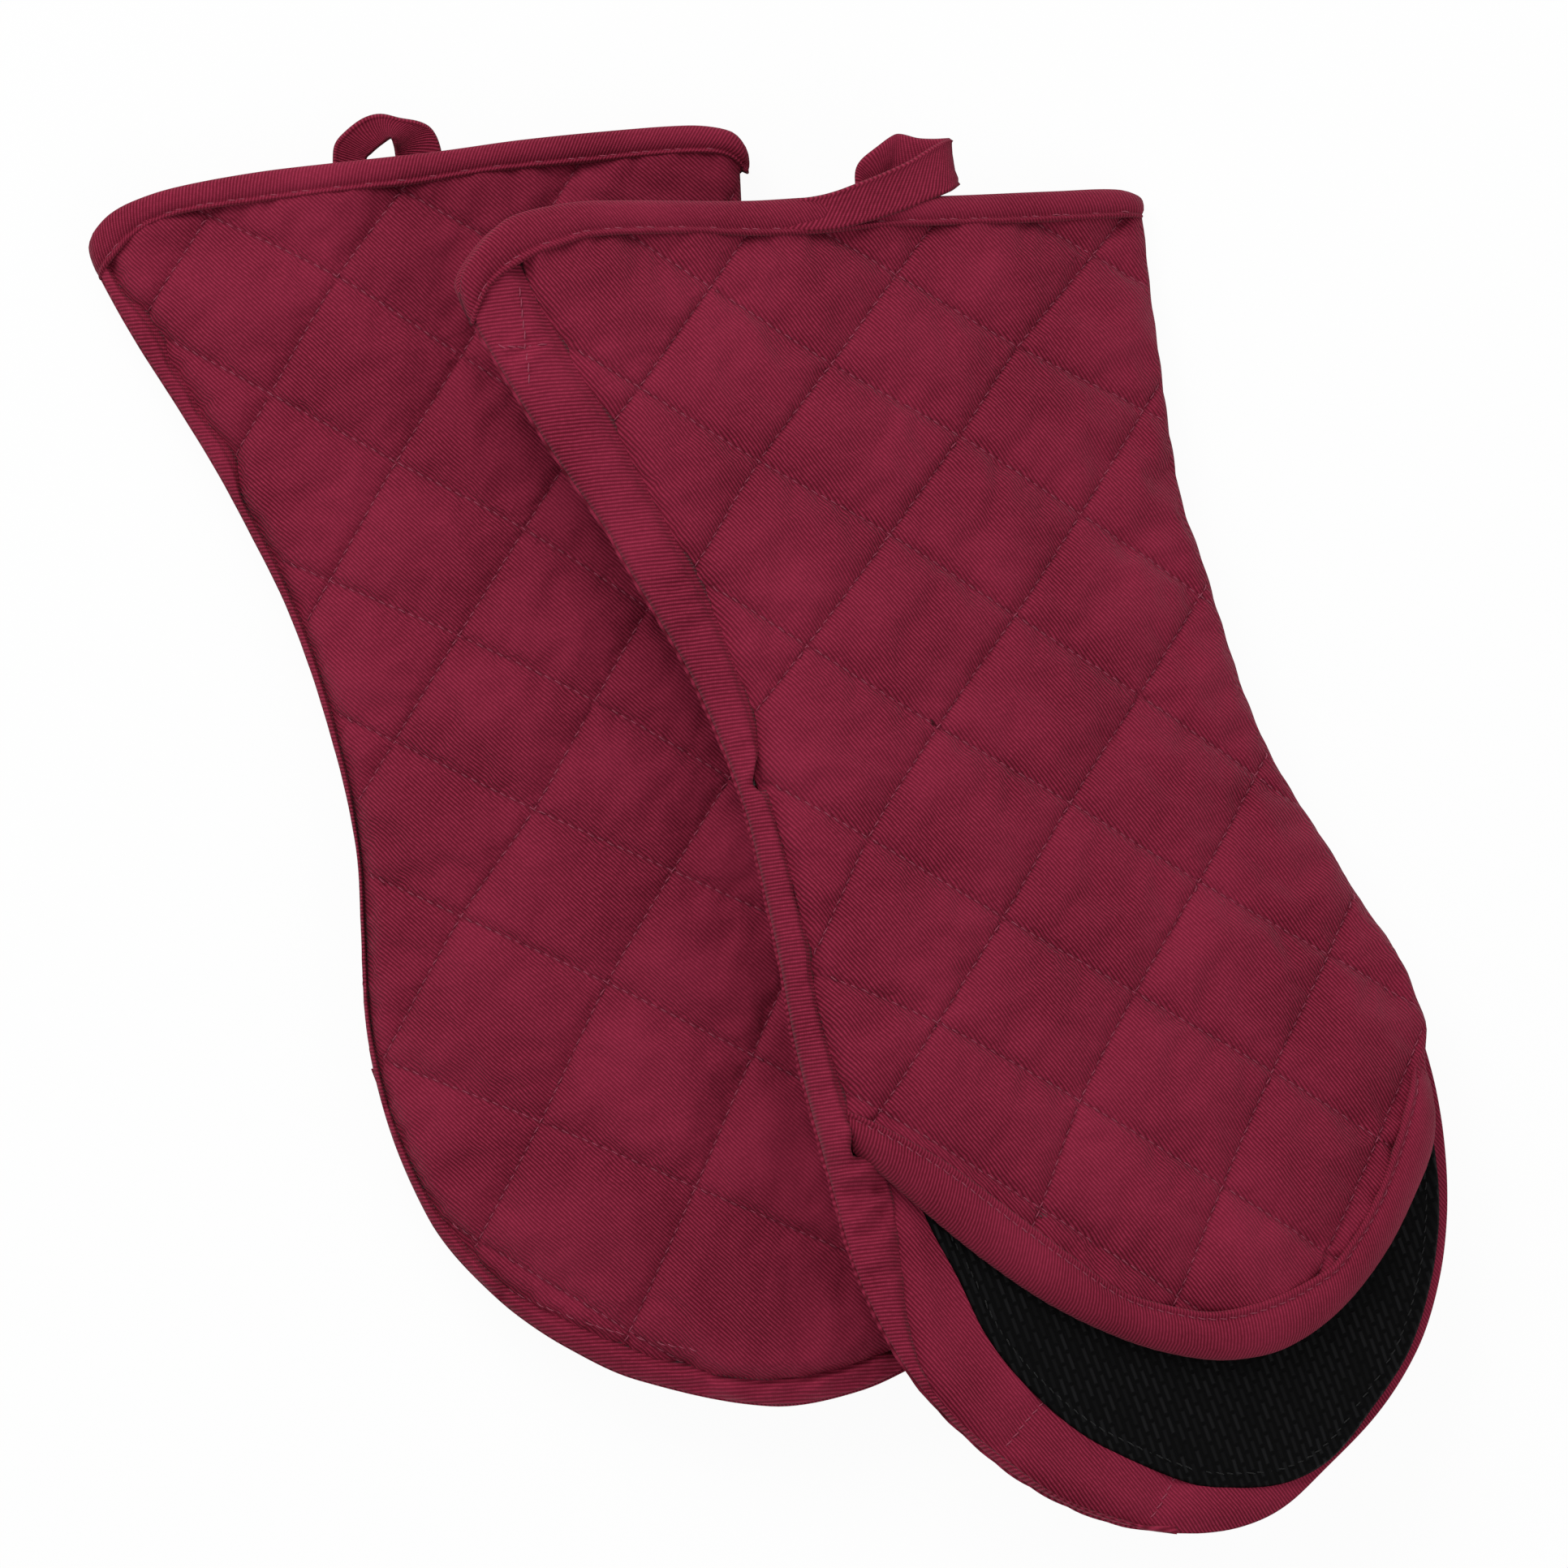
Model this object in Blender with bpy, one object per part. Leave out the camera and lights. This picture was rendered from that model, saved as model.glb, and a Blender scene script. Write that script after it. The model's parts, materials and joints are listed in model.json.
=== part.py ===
"""A pair of quilted oven mitts with a hinged thumb flap, laid one over the other.

Each mitt is a flat sleeve that widens into a hand. The back half is one long pocket
for the fingers. The front half ends in a shorter flap for the thumb, which closes on
the fingers like a jaw and turns about the fold of the palm. Every wall is a sandwich
of twill, batting and lining, quilted in diamonds. The left mitt lies on its face and
the right one lies on its back, with its left side resting on the left mitt.

Mitt coordinates: x across, s along the mitt from the cuff to the fingertips, and z
from the seam plane towards the thumb side. In an object, y is minus s.
"""

import math

import bmesh
import bpy
from mathutils import Matrix, Vector
from mathutils.bvhtree import BVHTree
from mathutils.geometry import delaunay_2d_cdt

MM = 0.001

# Outline of a mitt
MITT_LENGTH = 381 * MM
CUFF_HALF_WIDTH = 92 * MM
WAIST_HALF_WIDTH = 72 * MM
HAND_HALF_WIDTH = 86 * MM
WAIST_START_SHARE = 0.34
WAIST_END_SHARE = 0.39
HAND_SHARE = 0.70

# Puffed height of each half over the seam plane
CUFF_HEIGHT = 9 * MM
BACK_HAND_HEIGHT = 15.5 * MM
FRONT_HAND_HEIGHT = 18.5 * MM
CROWN_POWER = 2.4

# Layers of the quilted wall
TWILL = 0.8 * MM
BATTING = 2.0 * MM
LINING = 0.5 * MM
PLY_GAP = 0.3 * MM
SEAM_GAP = 0.3 * MM
QUILT_DEPTH = 1.6 * MM

# Diamond quilting of each mitt: two families of parallel stitch lines
LEFT_FIRST_PITCH = 36.4 * MM
LEFT_FIRST_ANGLE = math.radians(46)
LEFT_FIRST_START_SHARE = 0.22
LEFT_SECOND_PITCH = 41.4 * MM
LEFT_SECOND_ANGLE = math.radians(133)
LEFT_SECOND_START_SHARE = 0.02
RIGHT_FIRST_PITCH = 41.4 * MM
RIGHT_FIRST_ANGLE = math.radians(53)
RIGHT_FIRST_START_SHARE = 0.58
RIGHT_SECOND_PITCH = 35.8 * MM
RIGHT_SECOND_ANGLE = math.radians(140.5)
RIGHT_SECOND_START_SHARE = 0.89
PLATEAU_SHARE = 0.24
QUILT_FADE = 12 * MM

# Thumb flap and the fold of the palm
HINGE_SHARE = 0.617
FLAP_LENGTH = 98 * MM
FLAP_SHOULDER = 10 * MM
FOLD_WIDTH = 22 * MM
FOLD_STEP = 12 * MM
MOUTH_GAP = 0.5 * MM
PALM_CLOTH = 0.6 * MM
PALM_SEAM = 0.8 * MM
PALM_BATTING = 1.6 * MM
GRIP_PAD = 1.0 * MM
PALM_BORDER = 17 * MM

# Bias binding and hanging loop
BINDING_WIDTH = 11 * MM
BINDING_CLOTH = 0.9 * MM
BINDING_GAP = 0.4 * MM
LOOP_TAPE_WIDTH = 10 * MM
LOOP_TAPE = 1.6 * MM
LOOP_SPREAD = 27 * MM

# How the pair lies: cuff centres and turns seen from above
LEFT_CUFF = Vector((-101.5 * MM, 189.8 * MM))
RIGHT_CUFF = Vector((9.9 * MM, 164.8 * MM))
LEFT_TURN = math.radians(18)
RIGHT_TURN = math.radians(20)
RIGHT_ROLL = math.radians(17)
RIGHT_DIP = math.radians(1)
REST_GAP = 0.4 * MM
REST_FLAT = 0.5 * MM

# How each cuff is pulled askew, and where its loop stands
LEFT_SKEW_SHARE = -0.17
RIGHT_SKEW_SHARE = 0.25
SKEW_FADE = 170 * MM
LEFT_LOOP_PLACE = 4 * MM
RIGHT_LOOP_PLACE = 34 * MM
LEFT_LOOP_REACH = 17 * MM
RIGHT_LOOP_REACH = 24 * MM
LOOP_STEPS = 14
LOOP_ROUND_POWER = 0.8

# Stations that the nested layers share, so that their facets run parallel
RIM_SHARES = (1.0, 0.985, 0.93, 0.87)
QUILT_CLEAR_SHARE = 0.05
QUILT_FADE_SHARE = 0.6
ACROSS_SHARES = (0.0, 0.2, 0.4, 0.6, 0.75)
SIDE_STATIONS = 9
CAP_STATIONS = 11
POINT_MERGE = 1e-6 * MITT_LENGTH

TWILL_RED = (0.155, 0.013, 0.031, 1.0)
BINDING_RED = (0.160, 0.012, 0.027, 1.0)
BATTING_WHITE = (0.72, 0.70, 0.66, 1.0)
LINING_GREY = (0.42, 0.40, 0.38, 1.0)
PAD_BLACK = (0.004, 0.004, 0.004, 1.0)

WAIST_START = WAIST_START_SHARE * MITT_LENGTH
WAIST_END = WAIST_END_SHARE * MITT_LENGTH
HAND_CENTRE = HAND_SHARE * MITT_LENGTH
HINGE = HINGE_SHARE * MITT_LENGTH
WALL = TWILL + BATTING + LINING + 2 * PLY_GAP
FINGER_WALL = 2 * PALM_CLOTH + PALM_BATTING + 2 * PLY_GAP
PAD_TOP = PLY_GAP + GRIP_PAD
FLAP_FLOOR = PAD_TOP + MOUTH_GAP + BINDING_CLOTH + BINDING_GAP
FLAP_RIM = FLAP_FLOOR + GRIP_PAD + PALM_BATTING + PALM_CLOTH + 3 * PLY_GAP
HINGE_HEIGHT = PAD_TOP + MOUTH_GAP / 2


def smooth(start, end, value):
    """Ease from 0 at start to 1 at end."""
    share = min(max((value - start) / (end - start), 0.0), 1.0)
    return share * share * (3 - 2 * share)


def mitt_side(s):
    """Half width of the mitt between the cuff and the middle of the hand."""
    narrowing = (CUFF_HALF_WIDTH - WAIST_HALF_WIDTH) * smooth(0, WAIST_START, s)
    widening = (HAND_HALF_WIDTH - WAIST_HALF_WIDTH) * smooth(WAIST_END, HAND_CENTRE, s)
    return CUFF_HALF_WIDTH - narrowing + widening


class Outline:
    """A sleeve side that ends in half an ellipse; inset shrinks it all round."""

    def __init__(self, shoulder, tip):
        self.shoulder = shoulder
        self.cap = tip - shoulder
        self.shoulder_width = mitt_side(shoulder)

    def point(self, share, station, inset):
        """The plan point at a share of the way from the middle to the rim."""
        kind, place = station
        if kind == "side":
            s, side = place
            return share * side * (mitt_side(s) - inset), s
        x = (self.shoulder_width - inset) * math.sin(place) * share
        return x, self.shoulder + (self.cap - inset) * math.cos(place) * share

    def shift(self, x, s, inset):
        """Move a plan point of the outer face to its place on an inset face."""
        if s <= self.shoulder:
            width = mitt_side(s)
            return x * (width - inset) / width, s
        along = (self.cap - inset) / self.cap
        across = (self.shoulder_width - inset) / self.shoulder_width
        return x * across, self.shoulder + (s - self.shoulder) * along

    def rim_share(self, x, s):
        """0 on the middle line and 1 at the rim."""
        if s <= self.shoulder:
            return min(abs(x) / mitt_side(s), 1.0)
        return min(math.hypot(x / self.shoulder_width, (s - self.shoulder) / self.cap), 1.0)

    def stations(self, start, steps=()):
        """Stations down one side, round the cap and back up the other side."""
        count = max(2, round(SIDE_STATIONS * (self.shoulder - start) / self.shoulder))
        places = [start + (self.shoulder - start) * k / count for k in range(count)]
        places = sorted(places + [s for s in steps if start < s < self.shoulder])
        left = [("side", (s, -1)) for s in places]
        cap = [("cap", -math.pi / 2 + math.pi * k / CAP_STATIONS) for k in range(CAP_STATIONS + 1)]
        right = [("side", (s, 1)) for s in reversed(places)]
        return left + cap + right


MITT = Outline(HAND_CENTRE, MITT_LENGTH)
FLAP = Outline(HINGE + FLAP_SHOULDER, HINGE + FLAP_LENGTH)


def hand_height(side):
    return FRONT_HAND_HEIGHT if side > 0 else BACK_HAND_HEIGHT


def puff(s, side):
    """Height of the middle of a half at s: it rises evenly, so that a mitt lies flat."""
    return CUFF_HEIGHT + (hand_height(side) - CUFF_HEIGHT) * min(s / HAND_CENTRE, 1.0)


def back_rim(s):
    """The back half's rim drops at the palm, to carry the finger wall."""
    drop = FINGER_WALL + PLY_GAP - SEAM_GAP / 2
    return SEAM_GAP / 2 + drop * smooth(HINGE - FOLD_STEP - SEAM_GAP, HINGE - SEAM_GAP, s)


def front_rim(s):
    return SEAM_GAP / 2


def flap_rim(s):
    return FLAP_RIM


def crown(share):
    """Height profile from the middle to the rim, as a share."""
    return max(1 - share ** CROWN_POWER, 0.0) ** (1 / CROWN_POWER)


class StitchLines:
    """Parallel stitch lines: angle of their normal, pitch and place of the first one."""

    def __init__(self, pitch, angle, start_share):
        self.pitch = pitch
        self.normal = Vector((math.cos(angle), math.sin(angle)))
        self.start_share = start_share

    def place(self, x, s):
        """Number of the stitch line at a plan point, with its fraction."""
        return self.normal.dot(Vector((x, s))) / self.pitch - self.start_share

    def distance(self, number):
        """Distance of a stitch line from the cuff's middle."""
        return (number + self.start_share) * self.pitch


class Quilting:
    """Two families of stitch lines that cross in diamonds."""

    def __init__(self, first, second):
        self.first = first
        self.second = second

    def sink(self, x, s):
        """How far the stitches pull the cloth in: full on a stitch line, none on a diamond."""
        places = (self.first.place(x, s), self.second.place(x, s))
        nearest = min(abs(place - round(place)) for place in places)
        return QUILT_DEPTH * (1 - smooth(0, PLATEAU_SHARE, nearest))

    def point(self, first_number, second_number):
        """The plan point at a pair of line numbers."""
        a, b = self.first.normal, self.second.normal
        p, q = self.first.distance(first_number), self.second.distance(second_number)
        turn = a.cross(b)
        return (p * b.y - q * a.y) / turn, (q * a.x - p * b.x) / turn

    def points(self, fine):
        """Crossings and middles of the diamonds, with the plateau corners when fine."""
        reach = math.ceil(2 * MITT_LENGTH / min(self.first.pitch, self.second.pitch))
        low, high = PLATEAU_SHARE, 1 - PLATEAU_SHARE
        corners = [(0, 0), (0.5, 0.5)]
        if fine:
            corners = [(0, 0), (low, low), (low, high), (high, low), (high, high)]
        cells = [(i, j) for i in range(-reach, reach) for j in range(-reach, reach)]
        return [self.point(i + a, j + b) for i, j in cells for a, b in corners]


LEFT_QUILTING = Quilting(StitchLines(LEFT_FIRST_PITCH, LEFT_FIRST_ANGLE, LEFT_FIRST_START_SHARE),
                         StitchLines(LEFT_SECOND_PITCH, LEFT_SECOND_ANGLE, LEFT_SECOND_START_SHARE))
RIGHT_QUILTING = Quilting(StitchLines(RIGHT_FIRST_PITCH, RIGHT_FIRST_ANGLE, RIGHT_FIRST_START_SHARE),
                          StitchLines(RIGHT_SECOND_PITCH, RIGHT_SECOND_ANGLE, RIGHT_SECOND_START_SHARE))


def side_chains(outline, span, steps):
    """The stations along the rim, in one chain round the cap or one down each side."""
    start, end = span
    if end is None:
        return [outline.stations(start, steps)]
    count = max(1, round(SIDE_STATIONS * (end - start) / HAND_CENTRE))
    places = [start + (end - start) * k / count for k in range(count + 1)]
    places = sorted(places + [s for s in steps if start < s < end])
    return [[("side", (s, -1)) for s in places], [("side", (s, 1)) for s in reversed(places)]]


def panel_plan(outline, span, rows, steps, quilting, fine):
    """Points, triangles and rim of a panel's plan: even bands at the rim, diamonds inside."""
    start, end = span
    chains = side_chains(outline, span, rows + steps)
    points, faces, bands = [], [], []
    for chain in chains:
        rings = []
        for share in RIM_SHARES:
            rings.append(list(range(len(points), len(points) + len(chain))))
            points += [outline.point(share, station, 0) for station in chain]
        bands.append(rings)
        for near, far in zip(rings, rings[1:]):
            for k in range(len(chain) - 1):
                faces += [(near[k], near[k + 1], far[k + 1]), (near[k], far[k + 1], far[k])]
    signed = [-share for share in ACROSS_SHARES[:0:-1]] + list(ACROSS_SHARES)
    rim, core = [], []
    for number, rings in enumerate(bands):
        at_start = number == len(bands) - 1
        s = start if at_start else end
        row = list(range(len(points), len(points) + len(signed)))
        points += [(share * mitt_side(s), s) for share in (signed[::-1] if at_start else signed)]
        following = bands[(number + 1) % len(bands)]
        rim += rings[0] + [ring[-1] for ring in rings[1:]] + row + [ring[0] for ring in following[:0:-1]]
        core += rings[-1] + row
    inner = [(share * mitt_side(s), s) for s in rows for share in signed]
    limit = outline.shoulder + outline.cap if end is None else end
    margin = min(quilting.first.pitch, quilting.second.pitch) * PLATEAU_SHARE / 2
    low = max((start,) + rows) + margin
    reach = RIM_SHARES[-1] - QUILT_CLEAR_SHARE
    inner += [(x, s) for x, s in quilting.points(fine)
              if low < s < limit - margin and outline.rim_share(x, s) < reach]
    places = [points[k] for k in core] + inner
    edges = [(k, (k + 1) % len(core)) for k in range(len(core))]
    verts, _, cells, origins, _, _ = delaunay_2d_cdt([Vector(p) for p in places], edges, [], 1, POINT_MERGE)
    known = []
    for vert, origin in zip(verts, origins):
        if origin and origin[0] < len(core):
            known.append(core[origin[0]])
        else:
            known.append(len(points))
            points.append(tuple(vert))
    faces += [tuple(known[k] for k in cell) for cell in cells]
    return points, faces, rim


def closed_shell(name, plans, places):
    """A wall between two faces whose plans share their rim."""
    (points, faces, rim), (low_points, low_faces, low_rim) = plans
    verts = [places[0](x, s) for x, s in points] + [places[1](x, s) for x, s in low_points]
    base = len(points)
    shell = list(faces) + [tuple(base + k for k in reversed(face)) for face in low_faces]
    for k in range(len(rim)):
        a, b = rim[k - 1], rim[k]
        c, d = base + low_rim[k], base + low_rim[k - 1]
        shell += [(a, b, c), (a, c, d)]
    return new_object(name, verts, shell)


def new_object(name, verts, faces):
    """A closed mesh object with its faces pointing out."""
    mesh = bpy.data.meshes.new(name)
    mesh.from_pydata([tuple(v) for v in verts], [], faces)
    work = bmesh.new()
    work.from_mesh(mesh)
    bmesh.ops.recalc_face_normals(work, faces=work.faces)
    work.to_mesh(mesh)
    work.free()
    part = bpy.data.objects.new(name, mesh)
    bpy.context.scene.collection.objects.link(part)
    return part


def half_face(outline, side, rim, inset, sink=None):
    """A face of a puffed half: maps a plan point of the outer face to its place in space."""
    def place(x, s):
        share = outline.rim_share(x, s)
        low = rim(s)
        height = low + (puff(max(s, 0), side) - inset - low) * crown(share)
        if sink is not None:
            height -= sink(x, s, share)
        moved_x, moved_s = outline.shift(x, s, inset)
        return Vector((moved_x, -moved_s, side * height))
    return place


def wall_piece(name, outline, side, rim, span, insets, quilting, quilted=(False, False), rows=(), steps=()):
    """One ply of a half, from one inset to another; quilted says which faces are sunk."""
    start, end = span
    limit = outline.shoulder + outline.cap if end is None else end
    first = max((start,) + rows)
    last = limit - SEAM_GAP

    def sink(x, s, share):
        inside = 1 - smooth(QUILT_FADE_SHARE, RIM_SHARES[-1], share)
        ends = smooth(first, first + QUILT_FADE, s) * (1 - smooth(last - QUILT_FADE, last, s))
        return quilting.sink(x, s) * inside * ends

    plans = [panel_plan(outline, span, rows, steps, quilting, sunk) for sunk in quilted]
    places = [half_face(outline, side, rim, inset, sink if sunk else None)
              for inset, sunk in zip(insets, quilted)]
    return closed_shell(name, plans, places)


def plate(name, outline, start, inset, low, high):
    """A flat ply with the plan of a palm wall, between two heights."""
    loop = [outline.point(1, station, inset) for station in outline.stations(start)]
    count = len(loop)
    verts = [(x, -s, low) for x, s in loop] + [(x, -s, high) for x, s in loop]
    faces = [tuple(range(count)), tuple(range(2 * count - 1, count - 1, -1))]
    faces += [(k, (k + 1) % count, count + (k + 1) % count, count + k) for k in range(count)]
    return new_object(name, verts, faces)


def sweep(name, rings, closed):
    """Join rings of points into a tube, closed on itself or capped at both ends."""
    size = len(rings[0])
    count = len(rings)
    verts = [point for ring in rings for point in ring]
    last = count if closed else count - 1
    faces = []
    for k in range(last):
        a, b = k * size, (k + 1) % count * size
        faces += [(a + j, a + (j + 1) % size, b + (j + 1) % size, b + j) for j in range(size)]
    if not closed:
        faces += [tuple(range(size)), tuple(range(count * size - 1, (count - 1) * size - 1, -1))]
    return new_object(name, verts, faces)


def cuff_binding(name):
    """Tape folded over the cuff's edge, all the way round the opening."""
    across = sorted(set(RIM_SHARES + ACROSS_SHARES))
    shares = [-share for share in across[:0:-1]] + across
    loop = [(share, 1) for share in shares] + [(share, -1) for share in shares[-2:0:-1]]
    outside = -(BINDING_GAP + BINDING_CLOTH)
    inside = WALL + BINDING_GAP
    section = ((outside, BINDING_WIDTH), (outside, outside), (inside + BINDING_CLOTH, outside),
               (inside + BINDING_CLOTH, BINDING_WIDTH), (inside, BINDING_WIDTH), (inside, -BINDING_GAP),
               (-BINDING_GAP, -BINDING_GAP), (-BINDING_GAP, BINDING_WIDTH))
    rings = []
    for share, side in loop:
        ring = []
        for inset, s in section:
            reach = max(s, 0.0)
            width = mitt_side(reach) - inset
            height = (puff(reach, side) - inset) * crown(abs(share))
            ring.append(Vector((share * width, -s, side * height)))
        rings.append(ring)
    return sweep(name, rings, True)


def flap_binding(name):
    """Tape folded over the free edge of the thumb flap, from corner to corner."""
    outside = -(BINDING_GAP + BINDING_CLOTH)
    outer = half_face(FLAP, 1, flap_rim, outside)
    inner = half_face(FLAP, 1, flap_rim, -BINDING_GAP)
    under = FLAP_FLOOR - BINDING_GAP
    leg = RIM_SHARES[-1]
    rings = []
    for station in FLAP.stations(HINGE + SEAM_GAP):
        over = [FLAP.point(share, station, 0) for share in reversed(RIM_SHARES)]
        ring = [outer(x, s) for x, s in over]
        for share, inset, height in ((1, outside, under - BINDING_CLOTH), (leg, 0, under - BINDING_CLOTH),
                                     (leg, 0, under), (1, -BINDING_GAP, under)):
            x, s = FLAP.point(share, station, inset)
            ring.append(Vector((x, -s, height)))
        ring += [inner(x, s) for x, s in reversed(over)]
        rings.append(ring)
    return sweep(name, rings, False)


def hanging_loop(name, place, reach):
    """A folded tape that stands out of the cuff's edge in a loop, tape width upright."""
    base = -(BINDING_GAP + BINDING_CLOTH + SEAM_GAP)
    path = []
    for k in range(LOOP_STEPS + 1):
        turn = math.pi * k / LOOP_STEPS
        across = place - LOOP_SPREAD / 2 * math.cos(turn)
        path.append(Vector((across, base - (reach - LOOP_TAPE) * math.sin(turn) ** LOOP_ROUND_POWER)))
    rings = []
    for k, middle in enumerate(path):
        along = path[min(k + 1, LOOP_STEPS)] - path[max(k - 1, 0)]
        if k in (0, LOOP_STEPS):
            along = Vector((0, -1 if k == 0 else 1))
        thick = Vector((along.y, -along.x)).normalized() * LOOP_TAPE / 2
        ring = []
        for out, high in ((-1, -1), (1, -1), (1, 1), (-1, 1)):
            point = middle + thick * out
            ring.append(Vector((point.x, -point.y, high * LOOP_TAPE_WIDTH / 2)))
        rings.append(ring)
    return sweep(name, rings, False)


def skew_cuff(part, skew):
    """Pull a piece askew across the mitt, fully at the cuff and not at all at the palm."""
    for vertex in part.data.vertices:
        fade = 1 - smooth(0, SKEW_FADE, -vertex.co.y)
        vertex.co.y -= skew * vertex.co.x * fade


def paint(part, slot):
    """One material for each finish, shared by the parts that have it."""
    looks = {"twill": (TWILL_RED, 0.85), "binding": (BINDING_RED, 0.8), "batting": (BATTING_WHITE, 0.95),
             "lining": (LINING_GREY, 0.9), "grip": (PAD_BLACK, 0.55)}
    material = bpy.data.materials.get(slot)
    if material is None:
        colour, rough = looks[slot]
        material = bpy.data.materials.new(slot)
        material.use_nodes = True
        shader = material.node_tree.nodes["Principled BSDF"]
        shader.inputs["Base Color"].default_value = colour
        shader.inputs["Roughness"].default_value = rough
        shader.inputs["Metallic"].default_value = 0.0
        material.diffuse_color = colour
    part.data.materials.append(material)


def wall_plies():
    """Name, finish, insets and sunk faces of the three plies of a quilted wall."""
    middle = TWILL + PLY_GAP
    return (("panel", "twill", (0, TWILL), (True, True)),
            ("batting", "batting", (middle, middle + BATTING), (True, False)),
            ("lining", "lining", (WALL - LINING, WALL), (False, False)))


def sleeve_pieces(hand, quilting, loop_place, loop_reach):
    """Back half, front half up to the fold, finger wall and bindings of one mitt."""
    rows = (BINDING_WIDTH,)
    steps = (HINGE - FOLD_STEP - SEAM_GAP, HINGE - SEAM_GAP)
    front_end = HINGE - FOLD_WIDTH
    for ply, slot, insets, sunk in wall_plies():
        back = wall_piece(f"{hand}_back_{ply}", MITT, -1, back_rim, (0, None), insets, quilting,
                          sunk, rows, steps)
        front = wall_piece(f"{hand}_front_{ply}", MITT, 1, front_rim, (0, front_end), insets, quilting,
                           sunk, rows)
        paint(back, slot)
        paint(front, slot)
    fold = (front_end + SEAM_GAP, HINGE - SEAM_GAP)
    paint(wall_piece(f"{hand}_flap_fold", MITT, 1, front_rim, fold, (0, WALL), quilting), "twill")
    start = HINGE + SEAM_GAP
    paint(plate(f"{hand}_finger_palm", MITT, start, 0, -PALM_CLOTH, 0), "twill")
    deep = -PALM_CLOTH - PLY_GAP
    paint(plate(f"{hand}_finger_palm_batting", MITT, start, PALM_SEAM, deep - PALM_BATTING, deep), "batting")
    deep -= PALM_BATTING + PLY_GAP
    paint(plate(f"{hand}_finger_palm_lining", MITT, start, PALM_SEAM, deep - PALM_CLOTH, deep), "lining")
    paint(plate(f"{hand}_finger_grip_pad", MITT, start, PALM_BORDER, PLY_GAP, PAD_TOP), "grip")
    paint(cuff_binding(f"{hand}_cuff_binding"), "binding")
    paint(hanging_loop(f"{hand}_hanging_loop", loop_place, loop_reach), "binding")


def flap_pieces(hand, quilting):
    """Quilted wall, palm wall and bound edge of the thumb flap."""
    start = HINGE + SEAM_GAP
    for ply, slot, insets, sunk in wall_plies():
        wall = wall_piece(f"{hand}_thumb_{ply}", FLAP, 1, flap_rim, (start, None), insets, quilting, sunk)
        paint(wall, slot)
    low = FLAP_FLOOR
    paint(plate(f"{hand}_thumb_grip_pad", FLAP, start, 0, low, low + GRIP_PAD), "grip")
    low += GRIP_PAD + PLY_GAP
    paint(plate(f"{hand}_thumb_palm_batting", FLAP, start, 0, low, low + PALM_BATTING), "batting")
    low += PALM_BATTING + PLY_GAP
    paint(plate(f"{hand}_thumb_palm_lining", FLAP, start, 0, low, low + PALM_CLOTH), "lining")
    paint(flap_binding(f"{hand}_flap_binding"), "binding")


def new_empty(name, parent, place):
    empty = bpy.data.objects.new(name, None)
    bpy.context.scene.collection.objects.link(empty)
    empty.parent = parent
    empty.matrix_local = place
    return empty


def build_mitt(hand, quilting, place, skew, loop_place, loop_reach, up):
    """All pieces of one mitt under its empty, the flap's pieces under their hinge.

    up is 1 when the mitt lies on its back and -1 when it lies on its face. The loop
    folds up about the upper edge of its tape.
    """
    before = set(bpy.data.objects)
    sleeve_pieces(hand, quilting, loop_place, loop_reach)
    sleeve = [part for part in bpy.data.objects if part not in before]
    flap_pieces(hand, quilting)
    flap = [part for part in bpy.data.objects if part not in before and part not in sleeve]
    frame = new_empty(f"{hand}_mitt", None, place)
    hinge = Vector((0, -HINGE, HINGE_HEIGHT))
    pivot = new_empty(f"{hand}_flap_hinge", frame, Matrix.Translation(hinge))
    edge = Vector((loop_place, BINDING_GAP + BINDING_CLOTH - skew * loop_place, up * LOOP_TAPE_WIDTH / 2))
    root = new_empty(f"{hand}_loop_root", frame, Matrix.Translation(edge))
    for part in sleeve:
        skew_cuff(part, skew)
        part.parent = frame
        if part.name.endswith("hanging_loop"):
            part.data.transform(Matrix.Translation(-edge))
            part.parent = root
    for part in flap:
        part.data.transform(Matrix.Translation(-hinge))
        part.parent = pivot
    return frame, sleeve + flap


def world_points(parts):
    bpy.context.view_layer.update()
    return [part.matrix_world @ vertex.co for part in parts for vertex in part.data.vertices]


def merged_tree(parts):
    """A search tree over the faces of several parts, in world space."""
    bpy.context.view_layer.update()
    verts, faces = [], []
    for part in parts:
        base = len(verts)
        verts += [part.matrix_world @ vertex.co for vertex in part.data.vertices]
        faces += [[base + k for k in polygon.vertices] for polygon in part.data.polygons]
    return verts, BVHTree.FromPolygons(verts, faces)


def stand_on_floor(frame, parts):
    """Lower or raise a mitt until its lowest point touches the floor."""
    frame.location.z -= min(point.z for point in world_points(parts))
    bpy.context.view_layer.update()


def press_flat(frame, parts, depth):
    """Flatten the cloth where the mitt's weight presses it on the floor."""
    for part in parts:
        back = part.matrix_world.inverted()
        for vertex in part.data.vertices:
            point = part.matrix_world @ vertex.co
            if point.z < depth:
                vertex.co = back @ Vector((point.x, point.y, depth))
    stand_on_floor(frame, parts)


def settle_on(frame, parts, below):
    """Lower the upper mitt until it touches the floor or the mitt under it."""
    stand_on_floor(frame, parts)
    lower_points, lower_tree = merged_tree(below)
    upper_points, upper_tree = merged_tree(parts)
    down, up = Vector((0, 0, -1)), Vector((0, 0, 1))
    high = max(point.z for point in upper_points + lower_points)
    lift = 0.0
    for point in lower_points:
        hit = upper_tree.ray_cast(Vector((point.x, point.y, -high)), up)
        if hit[0] is not None:
            lift = max(lift, point.z - hit[0].z)
    for point in upper_points:
        hit = lower_tree.ray_cast(Vector((point.x, point.y, 2 * high)), down)
        if hit[0] is not None:
            lift = max(lift, hit[0].z - point.z)
    frame.location.z += lift + REST_GAP
    bpy.context.view_layer.update()
    return lift


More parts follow.
